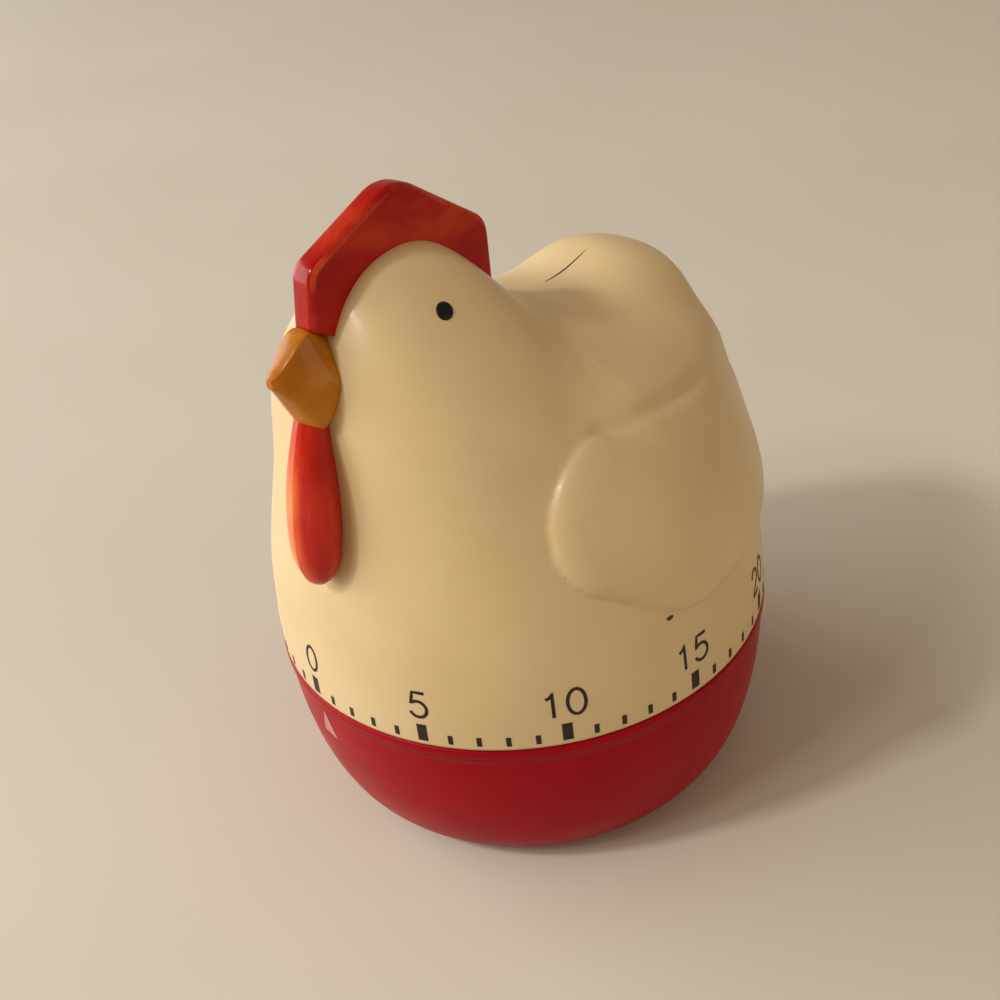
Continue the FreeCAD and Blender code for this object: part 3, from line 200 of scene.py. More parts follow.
def finish_piece(obj, body, material, slot, *nodes):
    obj.data.materials.clear()
    obj.data.materials.append(material)
    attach(obj, body)
    if nodes:
        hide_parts(*nodes)
    return obj


def loft(rings):
    """Faces between equal rings of points, with flat ends."""
    verts = [point for ring in rings for point in ring]
    count = len(rings[0])
    faces = []
    for level in range(len(rings) - 1):
        for index in range(count):
            after = (index + 1) % count
            low = level * count
            high = low + count
            faces.append((low + index, low + after, high + after, high + index))
    faces.append(tuple(reversed(range(count))))
    faces.append(tuple(range(len(verts) - count, len(verts))))
    return verts, faces


# ------------------------------------------------------------ materials

def new_material(name):
    material = bpy.data.materials.new(name)
    material.use_nodes = True
    tree = material.node_tree
    tree.nodes.clear()
    output = tree.nodes.new("ShaderNodeOutputMaterial")
    shader = tree.nodes.new("ShaderNodeBsdfPrincipled")
    tree.links.new(shader.outputs["BSDF"], output.inputs["Surface"])
    return material, tree, shader


def noise(tree, scale, detail=3.0, roughness=0.5, stretch=(1, 1, 1), distortion=0.0):
    """Noise in the piece's own coordinates; scale is in features per metre."""
    where = tree.nodes.new("ShaderNodeTexCoord")
    mapping = tree.nodes.new("ShaderNodeMapping")
    mapping.inputs["Scale"].default_value = stretch
    texture = tree.nodes.new("ShaderNodeTexNoise")
    texture.inputs["Scale"].default_value = scale
    texture.inputs["Detail"].default_value = detail
    texture.inputs["Roughness"].default_value = roughness
    texture.inputs["Distortion"].default_value = distortion
    tree.links.new(where.outputs["Object"], mapping.inputs["Vector"])
    tree.links.new(mapping.outputs["Vector"], texture.inputs["Vector"])
    return texture.outputs["Fac"]


def ramp(tree, value, stops):
    node = tree.nodes.new("ShaderNodeValToRGB")
    elements = node.color_ramp.elements
    elements[0].position, elements[0].color = stops[0][0], stops[0][1]
    elements[1].position, elements[1].color = stops[-1][0], stops[-1][1]
    for position, colour in stops[1:-1]:
        element = elements.new(position)
        element.color = colour
    tree.links.new(value, node.inputs["Fac"])
    return node.outputs["Color"]


def spread(tree, value, low, high):
    node = tree.nodes.new("ShaderNodeMapRange")
    node.inputs["From Min"].default_value = 0.3
    node.inputs["From Max"].default_value = 0.7
    node.inputs["To Min"].default_value = low
    node.inputs["To Max"].default_value = high
    tree.links.new(value, node.inputs["Value"])
    return node.outputs["Result"]


def bump(tree, shader, value, strength, distance):
    node = tree.nodes.new("ShaderNodeBump")
    node.inputs["Strength"].default_value = strength
    node.inputs["Distance"].default_value = distance
    tree.links.new(value, node.inputs["Height"])
    tree.links.new(node.outputs["Normal"], shader.inputs["Normal"])


def mix(tree, factor, first, second):
    node = tree.nodes.new("ShaderNodeMix")
    node.data_type = "RGBA"
    tree.links.new(factor, node.inputs["Factor"])
    for socket, value in ((node.inputs[6], first), (node.inputs[7], second)):
        if isinstance(value, tuple):
            socket.default_value = value
        else:
            tree.links.new(value, socket)
    return node.outputs[2]


# Features per metre in moulded plastic: slow colour drift, fine mottling, patches of wear on
# the gloss, and orange peel.
DRIFT = 60.0
MOTTLE = 2500.0
GLOSS_PATCHES = 220.0
ORANGE_PEEL = 420.0


def gloss_plastic(name, dark, light, rough, coat, subsurface=0.0, shine=0.5):
    """Moulded glossy plastic: slow colour drift, fine mottling, a little orange peel."""
    material, tree, shader = new_material(name)
    drift = noise(tree, DRIFT, 2.0)
    fleck = noise(tree, MOTTLE, 4.0, 0.7)
    base = ramp(tree, drift, [(0.3, dark), (0.7, light)])
    spotted = mix(tree, spread(tree, fleck, 0.0, 0.16), base, dark)
    tree.links.new(spotted, shader.inputs["Base Color"])
    patches = noise(tree, GLOSS_PATCHES, 4.0)
    tree.links.new(spread(tree, patches, *rough), shader.inputs["Roughness"])
    shader.inputs["Coat Weight"].default_value = coat
    shader.inputs["Coat Roughness"].default_value = 0.12
    shader.inputs["Specular IOR Level"].default_value = shine
    if subsurface > 0.0:
        shader.inputs["Subsurface Weight"].default_value = subsurface
        shader.inputs["Subsurface Radius"].default_value = (1.0, 0.7, 0.4)
        shader.inputs["Subsurface Scale"].default_value = 0.002
    bump(tree, shader, noise(tree, ORANGE_PEEL, 2.0), 0.25, 0.00004)
    return material


def edge_band(tree, low, high):
    """Mask of a band of distances from the middle plane, one inside it and zero outside."""
    where = tree.nodes.new("ShaderNodeTexCoord")
    parts = tree.nodes.new("ShaderNodeSeparateXYZ")
    tree.links.new(where.outputs["Object"], parts.inputs["Vector"])
    away = tree.nodes.new("ShaderNodeMath")
    away.operation = "ABSOLUTE"
    tree.links.new(parts.outputs["X"], away.inputs[0])
    soft = 0.15 * (high - low)
    start = step_between(tree, away.outputs[0], low * MM, (low + soft) * MM)
    stop = step_between(tree, away.outputs[0], high * MM, (high - soft) * MM)
    return multiply(tree, start, stop)


def step_between(tree, value, zero_at, one_at):
    node = tree.nodes.new("ShaderNodeMapRange")
    node.interpolation_type = "SMOOTHSTEP"
    node.inputs["From Min"].default_value = zero_at
    node.inputs["From Max"].default_value = one_at
    tree.links.new(value, node.inputs["Value"])
    return node.outputs["Result"]


def multiply(tree, first, second):
    node = tree.nodes.new("ShaderNodeMath")
    node.operation = "MULTIPLY"
    tree.links.new(first, node.inputs[0])
    tree.links.new(second, node.inputs[1])
    return node.outputs[0]


def side_mask(tree, axis, zero_at, one_at):
    """Mask that changes along one axis between two shares of the piece's own size."""
    where = tree.nodes.new("ShaderNodeTexCoord")
    parts = tree.nodes.new("ShaderNodeSeparateXYZ")
    tree.links.new(where.outputs["Generated"], parts.inputs["Vector"])
    return step_between(tree, parts.outputs[axis], zero_at, one_at)


def brushed_paint(name, deep, middle, pale, stretch, shine=0.3, worn=None, lit_side_tint=None):
    """Hand-brushed enamel: streaks of lighter orange over brick red, with rubbed edges; a tint,
    when given, is painted light on the lower side facing the lamps.
    """
    material, tree, shader = new_material(name)
    streak = noise(tree, 130.0, 5.0, 0.6, stretch, 0.6)
    cloud = noise(tree, 95.0, 3.0, 0.5)
    base = ramp(tree, streak, [(0.36, deep), (0.5, middle), (0.68, pale)])
    shade = mix(tree, spread(tree, cloud, 0.0, 0.7), base, deep)
    if worn is not None:
        low, high, colour = worn
        rubbed = step_between(tree, noise(tree, 240.0, 5.0, 0.6), 0.35, 0.8)
        shade = mix(tree, multiply(tree, edge_band(tree, low, high), rubbed), shade, colour)
    # Painted light: the lower side toward -x, which faces the lamps, is brightened toward the
    # tint in brush streaks.
    if lit_side_tint is not None:
        sideways = side_mask(tree, "X", 0.72, 0.42)
        downward = side_mask(tree, "Z", 0.86, 0.5)
        streaky = step_between(tree, noise(tree, 260.0, 4.0, 0.6, stretch), 0.25, 0.55)
        mask = multiply(tree, multiply(tree, sideways, downward), streaky)
        shade = mix(tree, mask, shade, lit_side_tint)
    tree.links.new(shade, shader.inputs["Base Color"])
    tree.links.new(spread(tree, streak, 0.2, 0.36), shader.inputs["Roughness"])
    shader.inputs["Specular IOR Level"].default_value = shine
    shader.inputs["Coat Weight"].default_value = 0.2
    shader.inputs["Coat Roughness"].default_value = 0.08
    bump(tree, shader, streak, 0.35, 0.00008)
    return material


def metal(name, dark, light, rough, stretch=(1, 1, 1)):
    material, tree, shader = new_material(name)
    lines = noise(tree, 900.0, 5.0, 0.7, stretch)
    stain = noise(tree, 140.0, 3.0)
    base = ramp(tree, stain, [(0.3, dark), (0.72, light)])
    tree.links.new(base, shader.inputs["Base Color"])
    tree.links.new(spread(tree, lines, rough[0], rough[1]), shader.inputs["Roughness"])
    shader.inputs["Metallic"].default_value = 1.0
    bump(tree, shader, lines, 0.2, 0.00002)
    return material


IVORY = gloss_plastic("ivory_plastic", (0.62, 0.46, 0.235, 1), (0.68, 0.515, 0.28, 1),
                      rough=(0.34, 0.42), coat=0.09, subsurface=0.08, shine=0.34)
CRIMSON = gloss_plastic("crimson_plastic", (0.28, 0.0004, 0.005, 1), (0.35, 0.0008, 0.009, 1),
                        rough=(0.3, 0.4), coat=0.0, shine=0.09)
COMB = brushed_paint("comb_paint", (0.31, 0.003, 0.001, 1), (0.42, 0.007, 0.002, 1),
                     (0.58, 0.05, 0.007, 1), (1.0, 0.4, 1.2), shine=0.09,
                     worn=(1.3, 1.76, (0.6, 0.07, 0.02, 1)))
# The orange on the wattle's lower left side is painted light from the lamps, broken into brush
# streaks.
WATTLE = brushed_paint("wattle_paint", (0.4, 0.006, 0.002, 1), (0.54, 0.022, 0.006, 1),
                       (0.66, 0.07, 0.015, 1), (1.6, 1.0, 0.25), shine=0.18,
                       lit_side_tint=(0.95, 0.2, 0.05, 1))
BEAK = brushed_paint("beak_paint", (0.34, 0.1, 0.0002, 1), (0.43, 0.135, 0.0005, 1),
                     (0.56, 0.22, 0.01, 1), (1.0, 1.0, 1.0), shine=0.16)
EYE = gloss_plastic("eye_black", (0.004, 0.004, 0.005, 1), (0.009, 0.008, 0.009, 1), (0.3, 0.4),
                    coat=0.0, shine=0.2)
INK = gloss_plastic("dial_ink", (0.012, 0.007, 0.005, 1), (0.03, 0.018, 0.014, 1), (0.45, 0.6),
                    coat=0.0, shine=0.3)
GRIME = gloss_plastic("grime", (0.02, 0.012, 0.008, 1), (0.05, 0.028, 0.018, 1), (0.5, 0.7),
                      coat=0.0)
WHITE_INK = gloss_plastic("index_ink", (0.45, 0.13, 0.14, 1), (0.56, 0.24, 0.25, 1), (0.4, 0.5),
                          coat=0.0)
NYLON = gloss_plastic("nylon", (0.66, 0.65, 0.6, 1), (0.76, 0.75, 0.7, 1), (0.4, 0.55), coat=0.0)
STEEL = metal("steel", (0.45, 0.45, 0.46, 1), (0.62, 0.62, 0.63, 1), (0.25, 0.42), (1, 6, 1))
BELL_STEEL = metal("bell_steel", (0.66, 0.66, 0.66, 1), (0.8, 0.8, 0.8, 1), (0.08, 0.2))
SPRING_STEEL = metal("spring_steel", (0.12, 0.14, 0.24, 1), (0.26, 0.28, 0.36, 1), (0.25, 0.4))
BRASS = metal("brass", (0.56, 0.38, 0.13, 1), (0.7, 0.5, 0.2, 1), (0.22, 0.38), (6, 1, 1))
ZINC = metal("zinc_screw", (0.48, 0.48, 0.42, 1), (0.66, 0.66, 0.6, 1), (0.3, 0.45))

# ------------------------------------------------------------ hen skin

ACROSS = 190
UP = 168


def skin_grids():
    """Points of the left half's outer and inner skins, in rows from the rim to the crown."""
    outer = []
    for row in range(UP + 1):
        elevation = CROWN_ANGLE * row / UP
        line = []
        for column in range(ACROSS + 1):
            point = skin_point(180.0 * column / ACROSS, elevation)
            if column in (0, ACROSS):
                point.x = 0.0
            line.append(point)
        outer.append(line)
    inner = []
    for row in range(UP + 1):
        line = []
        for column in range(ACROSS + 1):
            point = outer[row][column]
            if row == 0:
                normal = Vector((point.x, point.y, 0)).normalized()
            else:
                left = outer[row][max(column - 1, 0)]
                right = outer[row][min(column + 1, ACROSS)]
                below = outer[row - 1][column]
                above = outer[min(row + 1, UP)][column]
                normal = (right - left).cross(above - below).normalized()
            deeper = point - normal * SHELL_WALL
            if column in (0, ACROSS):
                deeper.x = 0.0
            line.append(deeper)
        inner.append(line)
    return outer, inner


def build_skin(side, outer, inner):
    """One half of the hen: outer skin, inner skin and the edges between, as a closed wall."""
    wide = ACROSS + 1
    verts = [p for line in outer for p in line] + [p for line in inner for p in line]
    shift = (UP + 1) * wide
    faces = []
    for row in range(UP):
        for column in range(ACROSS):
            a = row * wide + column
            quad = (a, a + 1, a + wide + 1, a + wide)
            faces.append(quad)
            faces.append(tuple(index + shift for index in reversed(quad)))
    border = [(row * wide, (row + 1) * wide) for row in range(UP)]
    border += [((row + 1) * wide + ACROSS, row * wide + ACROSS) for row in range(UP)]
    border += [(column + 1, column) for column in range(ACROSS)]
    border += [(UP * wide + column, UP * wide + column + 1) for column in range(ACROSS)]
    for a, b in border:
        faces.append((a, b, b + shift, a + shift))
    verts = [(side * v.x, v.y, v.z) for v in verts]
    obj = make_object("hen_skin_" + ("left" if side > 0 else "right"), verts, faces)
    normals = surface_normals(obj, shift)
    obj.data.normals_split_custom_set_from_vertices(normals)
    return obj


def surface_normals(obj, outer_count):
    """Vertex normals, with those on the middle plane laid in it so that the halves match."""
    normals = []
    for index, vertex in enumerate(obj.data.vertices):
        normal = vertex.normal.copy()
        if index < outer_count and abs(vertex.co.x) < 1e-7:
            normal = outer_edge_normal(vertex)
        normals.append(normal)
    return normals


def outer_edge_normal(vertex):
    x, y, z = (value / MM for value in vertex.co)
    step = 0.05
    slope = Vector((0.0, hen_level(x, y + step, z) - hen_level(x, y - step, z),
                    hen_level(x, y, z + step) - hen_level(x, y, z - step)))
    return slope.normalized()


outer_grid, inner_grid = skin_grids()
for half, side_word in ((1, "left"), (-1, "right")):
    finish_piece(build_skin(half, outer_grid, inner_grid), "dial", IVORY, "ivory_plastic",
                 "hen_shell_" + side_word)

# ------------------------------------------------------------ comb

COMB_HALF = 1.75
COMB_ROUND = 0.9
COMB_OUTER = [(-26.6, 73.2), (-25.4, 79.5), (-13.6, 84.5), (-10.8, 84.2), (0.3, 76.4),
              (0.2, 66.0)]
COMB_CORNERS = [0.0, 1.6, 1.35, 1.35, 1.5, 0.0]
COMB_ROOT = [(-23.2, 71.3), (-20.5, 73.6), (-16.0, 75.8), (-10.5, 75.2), (-4.5, 71.5),
             (-1.0, 66.0)]
COMB_SWELL = 0.05


def rounded_path(points, corners, spacing):
    """Polyline through an outline with each corner turned by a short arc-like curve."""
    path = []
    for index, point in enumerate(points):
        here = Vector(point)
        radius = corners[index]
        if radius == 0.0:
            path.append(here)
            continue
        before = (Vector(points[index - 1]) - here).normalized()
        after = (Vector(points[index + 1]) - here).normalized()
        start = here + before * radius
        end = here + after * radius
        for step in range(9):
            t = step / 8.0
            path.append(start * (1 - t) ** 2 + here * 2 * t * (1 - t) + end * t * t)
    return resample(path, spacing)


def resample(path, spacing):
    lengths = [0.0]
    for a, b in zip(path, path[1:]):
        lengths.append(lengths[-1] + (b - a).length)
    count = max(2, int(lengths[-1] / spacing))
    result = []
    index = 0
    for step in range(count + 1):
        goal = lengths[-1] * step / count
        while index < len(path) - 2 and lengths[index + 1] < goal:
            index += 1
        span = lengths[index + 1] - lengths[index]
        t = (goal - lengths[index]) / span if span > 0 else 0.0
        result.append(path[index].lerp(path[index + 1], min(max(t, 0.0), 1.0)))
    return result


def along_line(points, share):
    """Point part of the way along a polyline."""
    lengths = [(Vector(b) - Vector(a)).length for a, b in zip(points, points[1:])]
    goal = share * sum(lengths)
    for index, length in enumerate(lengths):
        if goal <= length or index == len(lengths) - 1:
            return Vector(points[index]).lerp(Vector(points[index + 1]), min(goal / length, 1.0))
        goal -= length


def build_comb():
    """Flat comb along the crown: rounded edge sections swept round its outline."""
    outer = rounded_path(COMB_OUTER, COMB_CORNERS, 0.3)
    count = len(outer)
    steps = 6
    inner_steps = 12
    rings = []
    for index, edge in enumerate(outer):
        root = along_line(COMB_ROOT, index / (count - 1.0))
        inward = root - edge
        depth = inward.length
        inward.normalize()
        profile = []
        for step in range(inner_steps):
            share = step / float(inner_steps)
            swell = 1.0 + COMB_SWELL * math.sin(math.pi * share)
            profile.append((COMB_HALF * swell, depth - (depth - COMB_ROUND) * share))
        for step in range(steps + 1):
            a = 0.5 * math.pi * step / steps
            profile.append((COMB_HALF - COMB_ROUND * (1.0 - math.cos(a)),
                            COMB_ROUND * (1.0 - math.sin(a))))
        ring = []
        for x, back in profile + [(-x, back) for x, back in reversed(profile)]:
            place = edge + inward * back
            ring.append((x, place.x, place.y))
        rings.append(ring)
    verts, faces = loft(rings)
    return make_object("comb_piece", verts, faces)


finish_piece(build_comb(), "dial", COMB, "comb_paint", "comb")

# ------------------------------------------------------------ beak

# Level forward, top, bottom, half width of the crown, half width of the cheeks.
BEAK_SLICES = [
    (-22.0, 71.4, 62.8, 0.5, 3.4), (-24.4, 71.8, 62.6, 0.6, 3.5),
    (-26.6, 73.1, 61.9, 1.4, 3.55), (-28.2, 72.6, 61.0, 1.5, 3.2),
    (-29.6, 71.5, 63.3, 1.25, 2.55), (-30.8, 70.5, 66.2, 0.95, 1.75),
    (-31.6, 70.0, 67.9, 0.65, 1.1), (-32.1, 69.7, 68.6, 0.35, 0.5),
]
CHEEK = [(0.0, 0.0), (0.48, 0.22), (1.0, 0.52), (0.56, 0.82)]
BEAK_EDGE = 0.1


def curve_through(points, samples):
    """Smooth curve through points, sampled evenly in each span."""
    result = []
    last = len(points) - 1
    for index in range(last):
        p0 = points[max(index - 1, 0)]
        p1 = points[index]
        p2 = points[index + 1]
        p3 = points[min(index + 2, last)]
        for step in range(samples):
            t = step / float(samples)
            blend = [0.5 * (2.0 * b + (c - a) * t + (2.0 * a - 5.0 * b + 4.0 * c - d) * t ** 2
                            + (3.0 * b - a - 3.0 * c + d) * t ** 3)
                     for a, b, c, d in zip(p0, p1, p2, p3)]
            result.append(tuple(blend))
    result.append(tuple(points[last]))
    return result


def build_beak():
    """Beak: a narrow flat crown with crisp edges, full cheeks, a blunt tip."""
    rings = []
    for y, top, bottom, crown, cheek in curve_through(BEAK_SLICES, 5):
        high = top - bottom
        side = [(crown + share * (cheek - crown), top - drop * high) for share, drop in CHEEK]
        side.append((0.0, bottom))
        side = curve_through(side, 7)
        edge = BEAK_EDGE * crown
        fall = (side[1][0] - side[0][0], side[1][1] - side[0][1])
        share = edge / math.hypot(*fall)
        side[0] = (side[0][0] + share * fall[0], side[0][1] + share * fall[1])
        roof = [(crown * (1.0 - 0.25 * k), top + 0.12 * crown * (1.0 - (1.0 - 0.25 * k) ** 2))
                for k in range(4, 0, -1)]
        half = roof + [(crown - edge, top + 0.3 * edge)] + side
        ring = [(x, y, z) for x, z in half]
        ring += [(-x, y, z) for x, z in reversed(half[1:-1])]
        rings.append(ring)
    verts, faces = loft(rings)
    obj = make_object("beak_piece", verts, faces)
    soften_edges(obj, 32.0)
    return obj


def soften_edges(obj, degrees):
    """Keep faces smooth except across edges that turn more than an angle."""
    tidy = bmesh.new()
    tidy.from_mesh(obj.data)
    for edge in tidy.edges:
        if len(edge.link_faces) == 2 and edge.calc_face_angle() > math.radians(degrees):
            edge.smooth = False
    tidy.to_mesh(obj.data)
    tidy.free()


finish_piece(build_beak(), "dial", BEAK, "beak_paint", "beak")

# ------------------------------------------------------------ wattle

# Level, line of the thickest part, half width, half depth.
WATTLE_SLICES = [
    (43.35, -31.75, 0.25, 0.2), (43.5, -31.72, 0.75, 0.55), (43.9, -31.7, 1.4, 1.0),
    (44.9, -31.65, 2.3, 1.65), (47.0, -31.5, 3.2, 2.3), (49.8, -31.2, 3.5, 2.5),
    (53.5, -30.65, 3.38, 2.4), (57.1, -30.0, 3.0, 2.15), (60.0, -29.3, 2.55, 1.85),
    (62.9, -28.4, 2.15, 1.6), (65.0, -27.6, 1.9, 1.35),
]
WATTLE_FRONT = [(0.0, -1.0), (0.36, -0.84), (0.74, -0.55), (1.0, 0.0)]
WATTLE_BACK = [(0.84, 0.5), (0.45, 1.0), (0.0, 1.05)]


def build_wattle():
    """Wattle: a long drop, full in front and drawn in where it meets the breast."""
    rings = []
    for level, line, half, deep in curve_through(WATTLE_SLICES, 6):
        back = max(skin_front(level) + 0.8 - line, 0.8 * deep)
        side = [(share * half, line + part * deep) for share, part in WATTLE_FRONT]
        side += [(share * half, line + part * back) for share, part in WATTLE_BACK]
        side = curve_through(side, 6)
        ring = [(x, y, level) for x, y in side]
        ring += [(-x, y, level) for x, y in reversed(side[1:-1])]
        rings.append(ring)
    verts, faces = loft(rings)
    obj = make_object("wattle_piece", verts, faces)
    soften_edges(obj, 30.0)
    return obj


finish_piece(build_wattle(), "dial", WATTLE, "comb_paint", "wattle")

# ------------------------------------------------------------ eyes

EYE_AZIMUTH = 46.0
EYE_ELEVATION = 74.9
EYE_WIDE = 0.95
EYE_HIGH = 1.13
EYE_PROUD = 0.26


def build_eye(side):
    """Domed black eye set on the skin."""
    spot = skin_point(EYE_AZIMUTH, EYE_ELEVATION)
    across = skin_point(EYE_AZIMUTH + 0.5, EYE_ELEVATION)
    rise = skin_point(EYE_AZIMUTH, EYE_ELEVATION + 0.5)
    normal = (across - spot).cross(rise - spot).normalized()
    first = (across - spot).normalized()
    second = normal.cross(first)
    rings = []
    for level in range(9):
        a = 0.5 * math.pi * level / 8.5
        height = EYE_PROUD * math.sin(a)
        ring = []
        for step in range(32):
            turn = 2.0 * math.pi * step / 32
            flat = first * (EYE_WIDE * math.cos(turn)) + second * (EYE_HIGH * math.sin(turn))
            ring.append(spot + normal * height + flat * math.cos(a))
        rings.append(ring)
    deep = [point - normal * 0.5 for point in rings[0]]
    verts, faces = loft([deep] + rings)
    verts = [(side * v[0], v[1], v[2]) for v in verts]
    return make_object("eye_" + ("left" if side > 0 else "right"), verts, faces)


finish_piece(build_eye(1), "dial", EYE, "eye_black", "eyes")
finish_piece(build_eye(-1), "dial", EYE, "eye_black")

# ------------------------------------------------------------ dial marks

# Printed marks stand a hair proud of the surface and reach a little into it.
INK_LIFT = 0.03
INK_SINK = -0.15
# Width and height of a tick.
MAJOR_TICK = (1.25, 2.5)
MINOR_TICK = (0.6, 1.35)
TICK_STEPS = 5


def around_seam(minute):
    """Distance along the seam circle from the 0 mark to a minute mark."""
    return minute * math.radians(MINUTE) * SEAM_RADIUS


def on_skin(across, level, lift):
    """Point on the dial band: across is the distance along the seam circle from the 0 mark."""
    azimuth = DIAL_TURN + math.degrees(across / SEAM_RADIUS)
    radius = skin_radius(azimuth, level) + lift
    a = math.radians(azimuth)
    return (radius * math.sin(a), -radius * math.cos(a), level)


def ribbon(path, width, place):
    """Thin raised stroke along a flat path; place turns flat points into space."""
    verts = []
    count = len(path)
    for index, point in enumerate(path):
        before = path[max(index - 1, 0)]
        after = path[min(index + 1, count - 1)]
        tangent = (after - before).normalized()
        normal = Vector((-tangent.y, tangent.x)) * (0.5 * width)
        corners = ((normal, INK_LIFT), (-normal, INK_LIFT), (-normal, INK_SINK),
                   (normal, INK_SINK))
        for corner, height in corners:
            spot = point + corner
            verts.append(place(spot.x, spot.y, height))
    return verts, strip_faces(count)


def strip_faces(count):
    """Faces of a closed strip that runs through a number of four-cornered sections."""
    faces = [(0, 1, 2, 3)]
    for index in range(count - 1):
        low = 4 * index
        for a in range(4):
            b = (a + 1) % 4
            faces.append((low + a, low + 4 + a, low + 4 + b, low + b))
    last = 4 * (count - 1)
    faces.append((last + 3, last + 2, last + 1, last))
    return faces


def arc(centre, radii, start, end, steps=14):
    points = []
    for step in range(steps + 1):
        a = math.radians(start + (end - start) * step / steps)
        points.append(Vector((centre[0] + radii[0] * math.cos(a),
                              centre[1] + radii[1] * math.sin(a))))
    return points


DIGIT_HIGH = 3.5
DIGIT_WIDE = 2.3
DIGIT_STROKE = 0.42
DIGIT_GAP = 0.55
NUMBER_RISE = 3.6


def digit_strokes(character):
    """Thin upright figures, drawn in a box 1 wide and 1.5 high, for the dial numbers."""
    if character == "0":
        return [arc((0.5, 0.75), (0.46, 0.75), 90, 450, 40)]
    if character == "1":
        return [[Vector((0.18, 1.14)), Vector((0.36, 1.22)), Vector((0.52, 1.5)),
                 Vector((0.52, 0.75)), Vector((0.52, 0.0))]]
    if character == "2":
        top = arc((0.48, 1.06), (0.44, 0.44), 172, -38, 22)
        return [top + [Vector((0.52, 0.5)), Vector((0.12, 0.14)), Vector((0.03, 0.0)),
                       Vector((0.5, 0.0)), Vector((0.96, 0.0))]]
    if character == "3":
        return [arc((0.45, 1.12), (0.4, 0.38), 165, -78, 20)
                + arc((0.45, 0.41), (0.47, 0.41), 78, -165, 24)]
    if character == "4":
        return [[Vector((0.72, 0.0)), Vector((0.72, 0.8)), Vector((0.72, 1.48)),
                 Vector((0.36, 0.95)), Vector((0.02, 0.42)), Vector((0.5, 0.42)),
                 Vector((0.98, 0.42))]]
    return [[Vector((0.88, 1.5)), Vector((0.54, 1.5)), Vector((0.22, 1.5)),
             Vector((0.15, 1.1)), Vector((0.1, 0.78))]
            + arc((0.46, 0.49), (0.47, 0.49), 128, -158, 30)]


def join_meshes(name, parts):
    verts = []
    faces = []
    for part_verts, part_faces in parts:
        shift = len(verts)
        verts += part_verts
        faces += [tuple(index + shift for index in face) for face in part_faces]
    return make_object(name, verts, faces, smooth=False)


def build_ticks():
    parts = []
    for minute in range(60):
        width, high = MAJOR_TICK if minute % 5 == 0 else MINOR_TICK
        path = [Vector((around_seam(minute), TICK_LEVEL + high * step / TICK_STEPS))
                for step in range(TICK_STEPS + 1)]
        parts.append(ribbon(path, width, on_skin))
    return join_meshes("dial_ticks", parts)


def build_numbers():
    parts = []
    low = TICK_LEVEL + NUMBER_RISE
    scale = DIGIT_HIGH / 1.5
    for number in range(0, 60, 5):
        text = str(number)
        pitch = DIGIT_WIDE + DIGIT_GAP
        start = around_seam(number) - 0.5 * pitch * (len(text) - 1)
        for index, character in enumerate(text):
            left = start + index * pitch - 0.5 * scale

            def place(x, y, lift, left=left):
                return on_skin(left + x * scale, low + y * scale, lift)

            for stroke in digit_strokes(character):
                parts.append(ribbon(stroke, DIGIT_STROKE / scale, place))
    return join_meshes("dial_numbers", parts)


CRACK_FROM = 10.8
CRACK_TO = 18.2
CRACK_AIM_LEVEL = 64.2
CRACK_HALF = 0.13
CRACK_LIFT = 0.02
CRACK_SINK = -0.2


def build_crack():
    """Hairline opening of the joint on the hen's back, tapering to nothing at both ends."""
    path = []
    for step in range(25):
        share = step / 24.0
        path.append((CRACK_FROM + share * (CRACK_TO - CRACK_FROM),
                     CRACK_HALF * math.sin(math.pi * share) ** 0.7 + 0.01,
                     -0.15 - 0.2 * math.sin(1.3 * math.pi * share)))
    verts = []
    for y, half, drift in path:
        for x, lift in ((half, CRACK_LIFT), (-half, CRACK_LIFT), (-half, CRACK_SINK),
                        (half, CRACK_SINK)):
            start = Vector((0, CENTRE_Y, RIM_LEVEL))
            aim = Vector((x + drift, y, CRACK_AIM_LEVEL)) - start
            point = along_ray(start, aim.normalized())
            verts.append(tuple(point + aim.normalized() * lift))
    return make_object("joint_crack", verts, strip_faces(len(path)), smooth=False)


FLECK_AZIMUTH = 77.3
FLECK_LEVEL = 36.2


def build_fleck():
    """Small brown fleck below the wing."""
    a = math.radians(FLECK_AZIMUTH)
    radius = skin_radius(FLECK_AZIMUTH, FLECK_LEVEL)
    outward = Vector((math.sin(a), -math.cos(a), 0.0))
    sideways = Vector((math.cos(a), math.sin(a), 0.0))
    centre = Vector((radius * outward.x, radius * outward.y, FLECK_LEVEL))
    rings = []
    for lift, share in ((-0.3, 1.0), (0.02, 1.0), (0.06, 0.6)):
        ring = []
        for step in range(18):
            turn = 2.0 * math.pi * step / 18
            spread_by = share * (0.42 + 0.06 * math.sin(3.0 * turn))
            ring.append(centre + outward * lift + sideways * (1.15 * spread_by * math.cos(turn))
                        + Vector((0, 0, 0.8 * spread_by * math.sin(turn))))
        rings.append(ring)
    verts, faces = loft(rings)
    return make_object("paint_fleck", verts, faces)


finish_piece(build_crack(), "dial", GRIME, "ivory_plastic")
finish_piece(build_fleck(), "dial", GRIME, "ivory_plastic")
finish_piece(build_ticks(), "dial", INK, "ivory_plastic")
finish_piece(build_numbers(), "dial", INK, "ivory_plastic")

# ------------------------------------------------------------ base bowl

FOOT_RADIUS = 22.2
BOWL_RADIUS = 32.85
LIP_RADIUS = 33.1
LIP_LOW = 22.5
BOWL_TOP = 23.85
BOWL_WALL = 2.0
FLOOR_TOP = 2.2
BOWL_DROP_POWER = 2.04
BOWL_FOOT_POWER = 3.15
FOOT_RISE = 0.35


def bowl_radius(level):
    drop = min(max((BOWL_TOP - level) / BOWL_TOP, 0.0), 1.0)
    reach = BOWL_RADIUS - FOOT_RADIUS
    return FOOT_RADIUS + reach * (1.0 - drop ** BOWL_DROP_POWER) ** (1.0 / BOWL_FOOT_POWER)


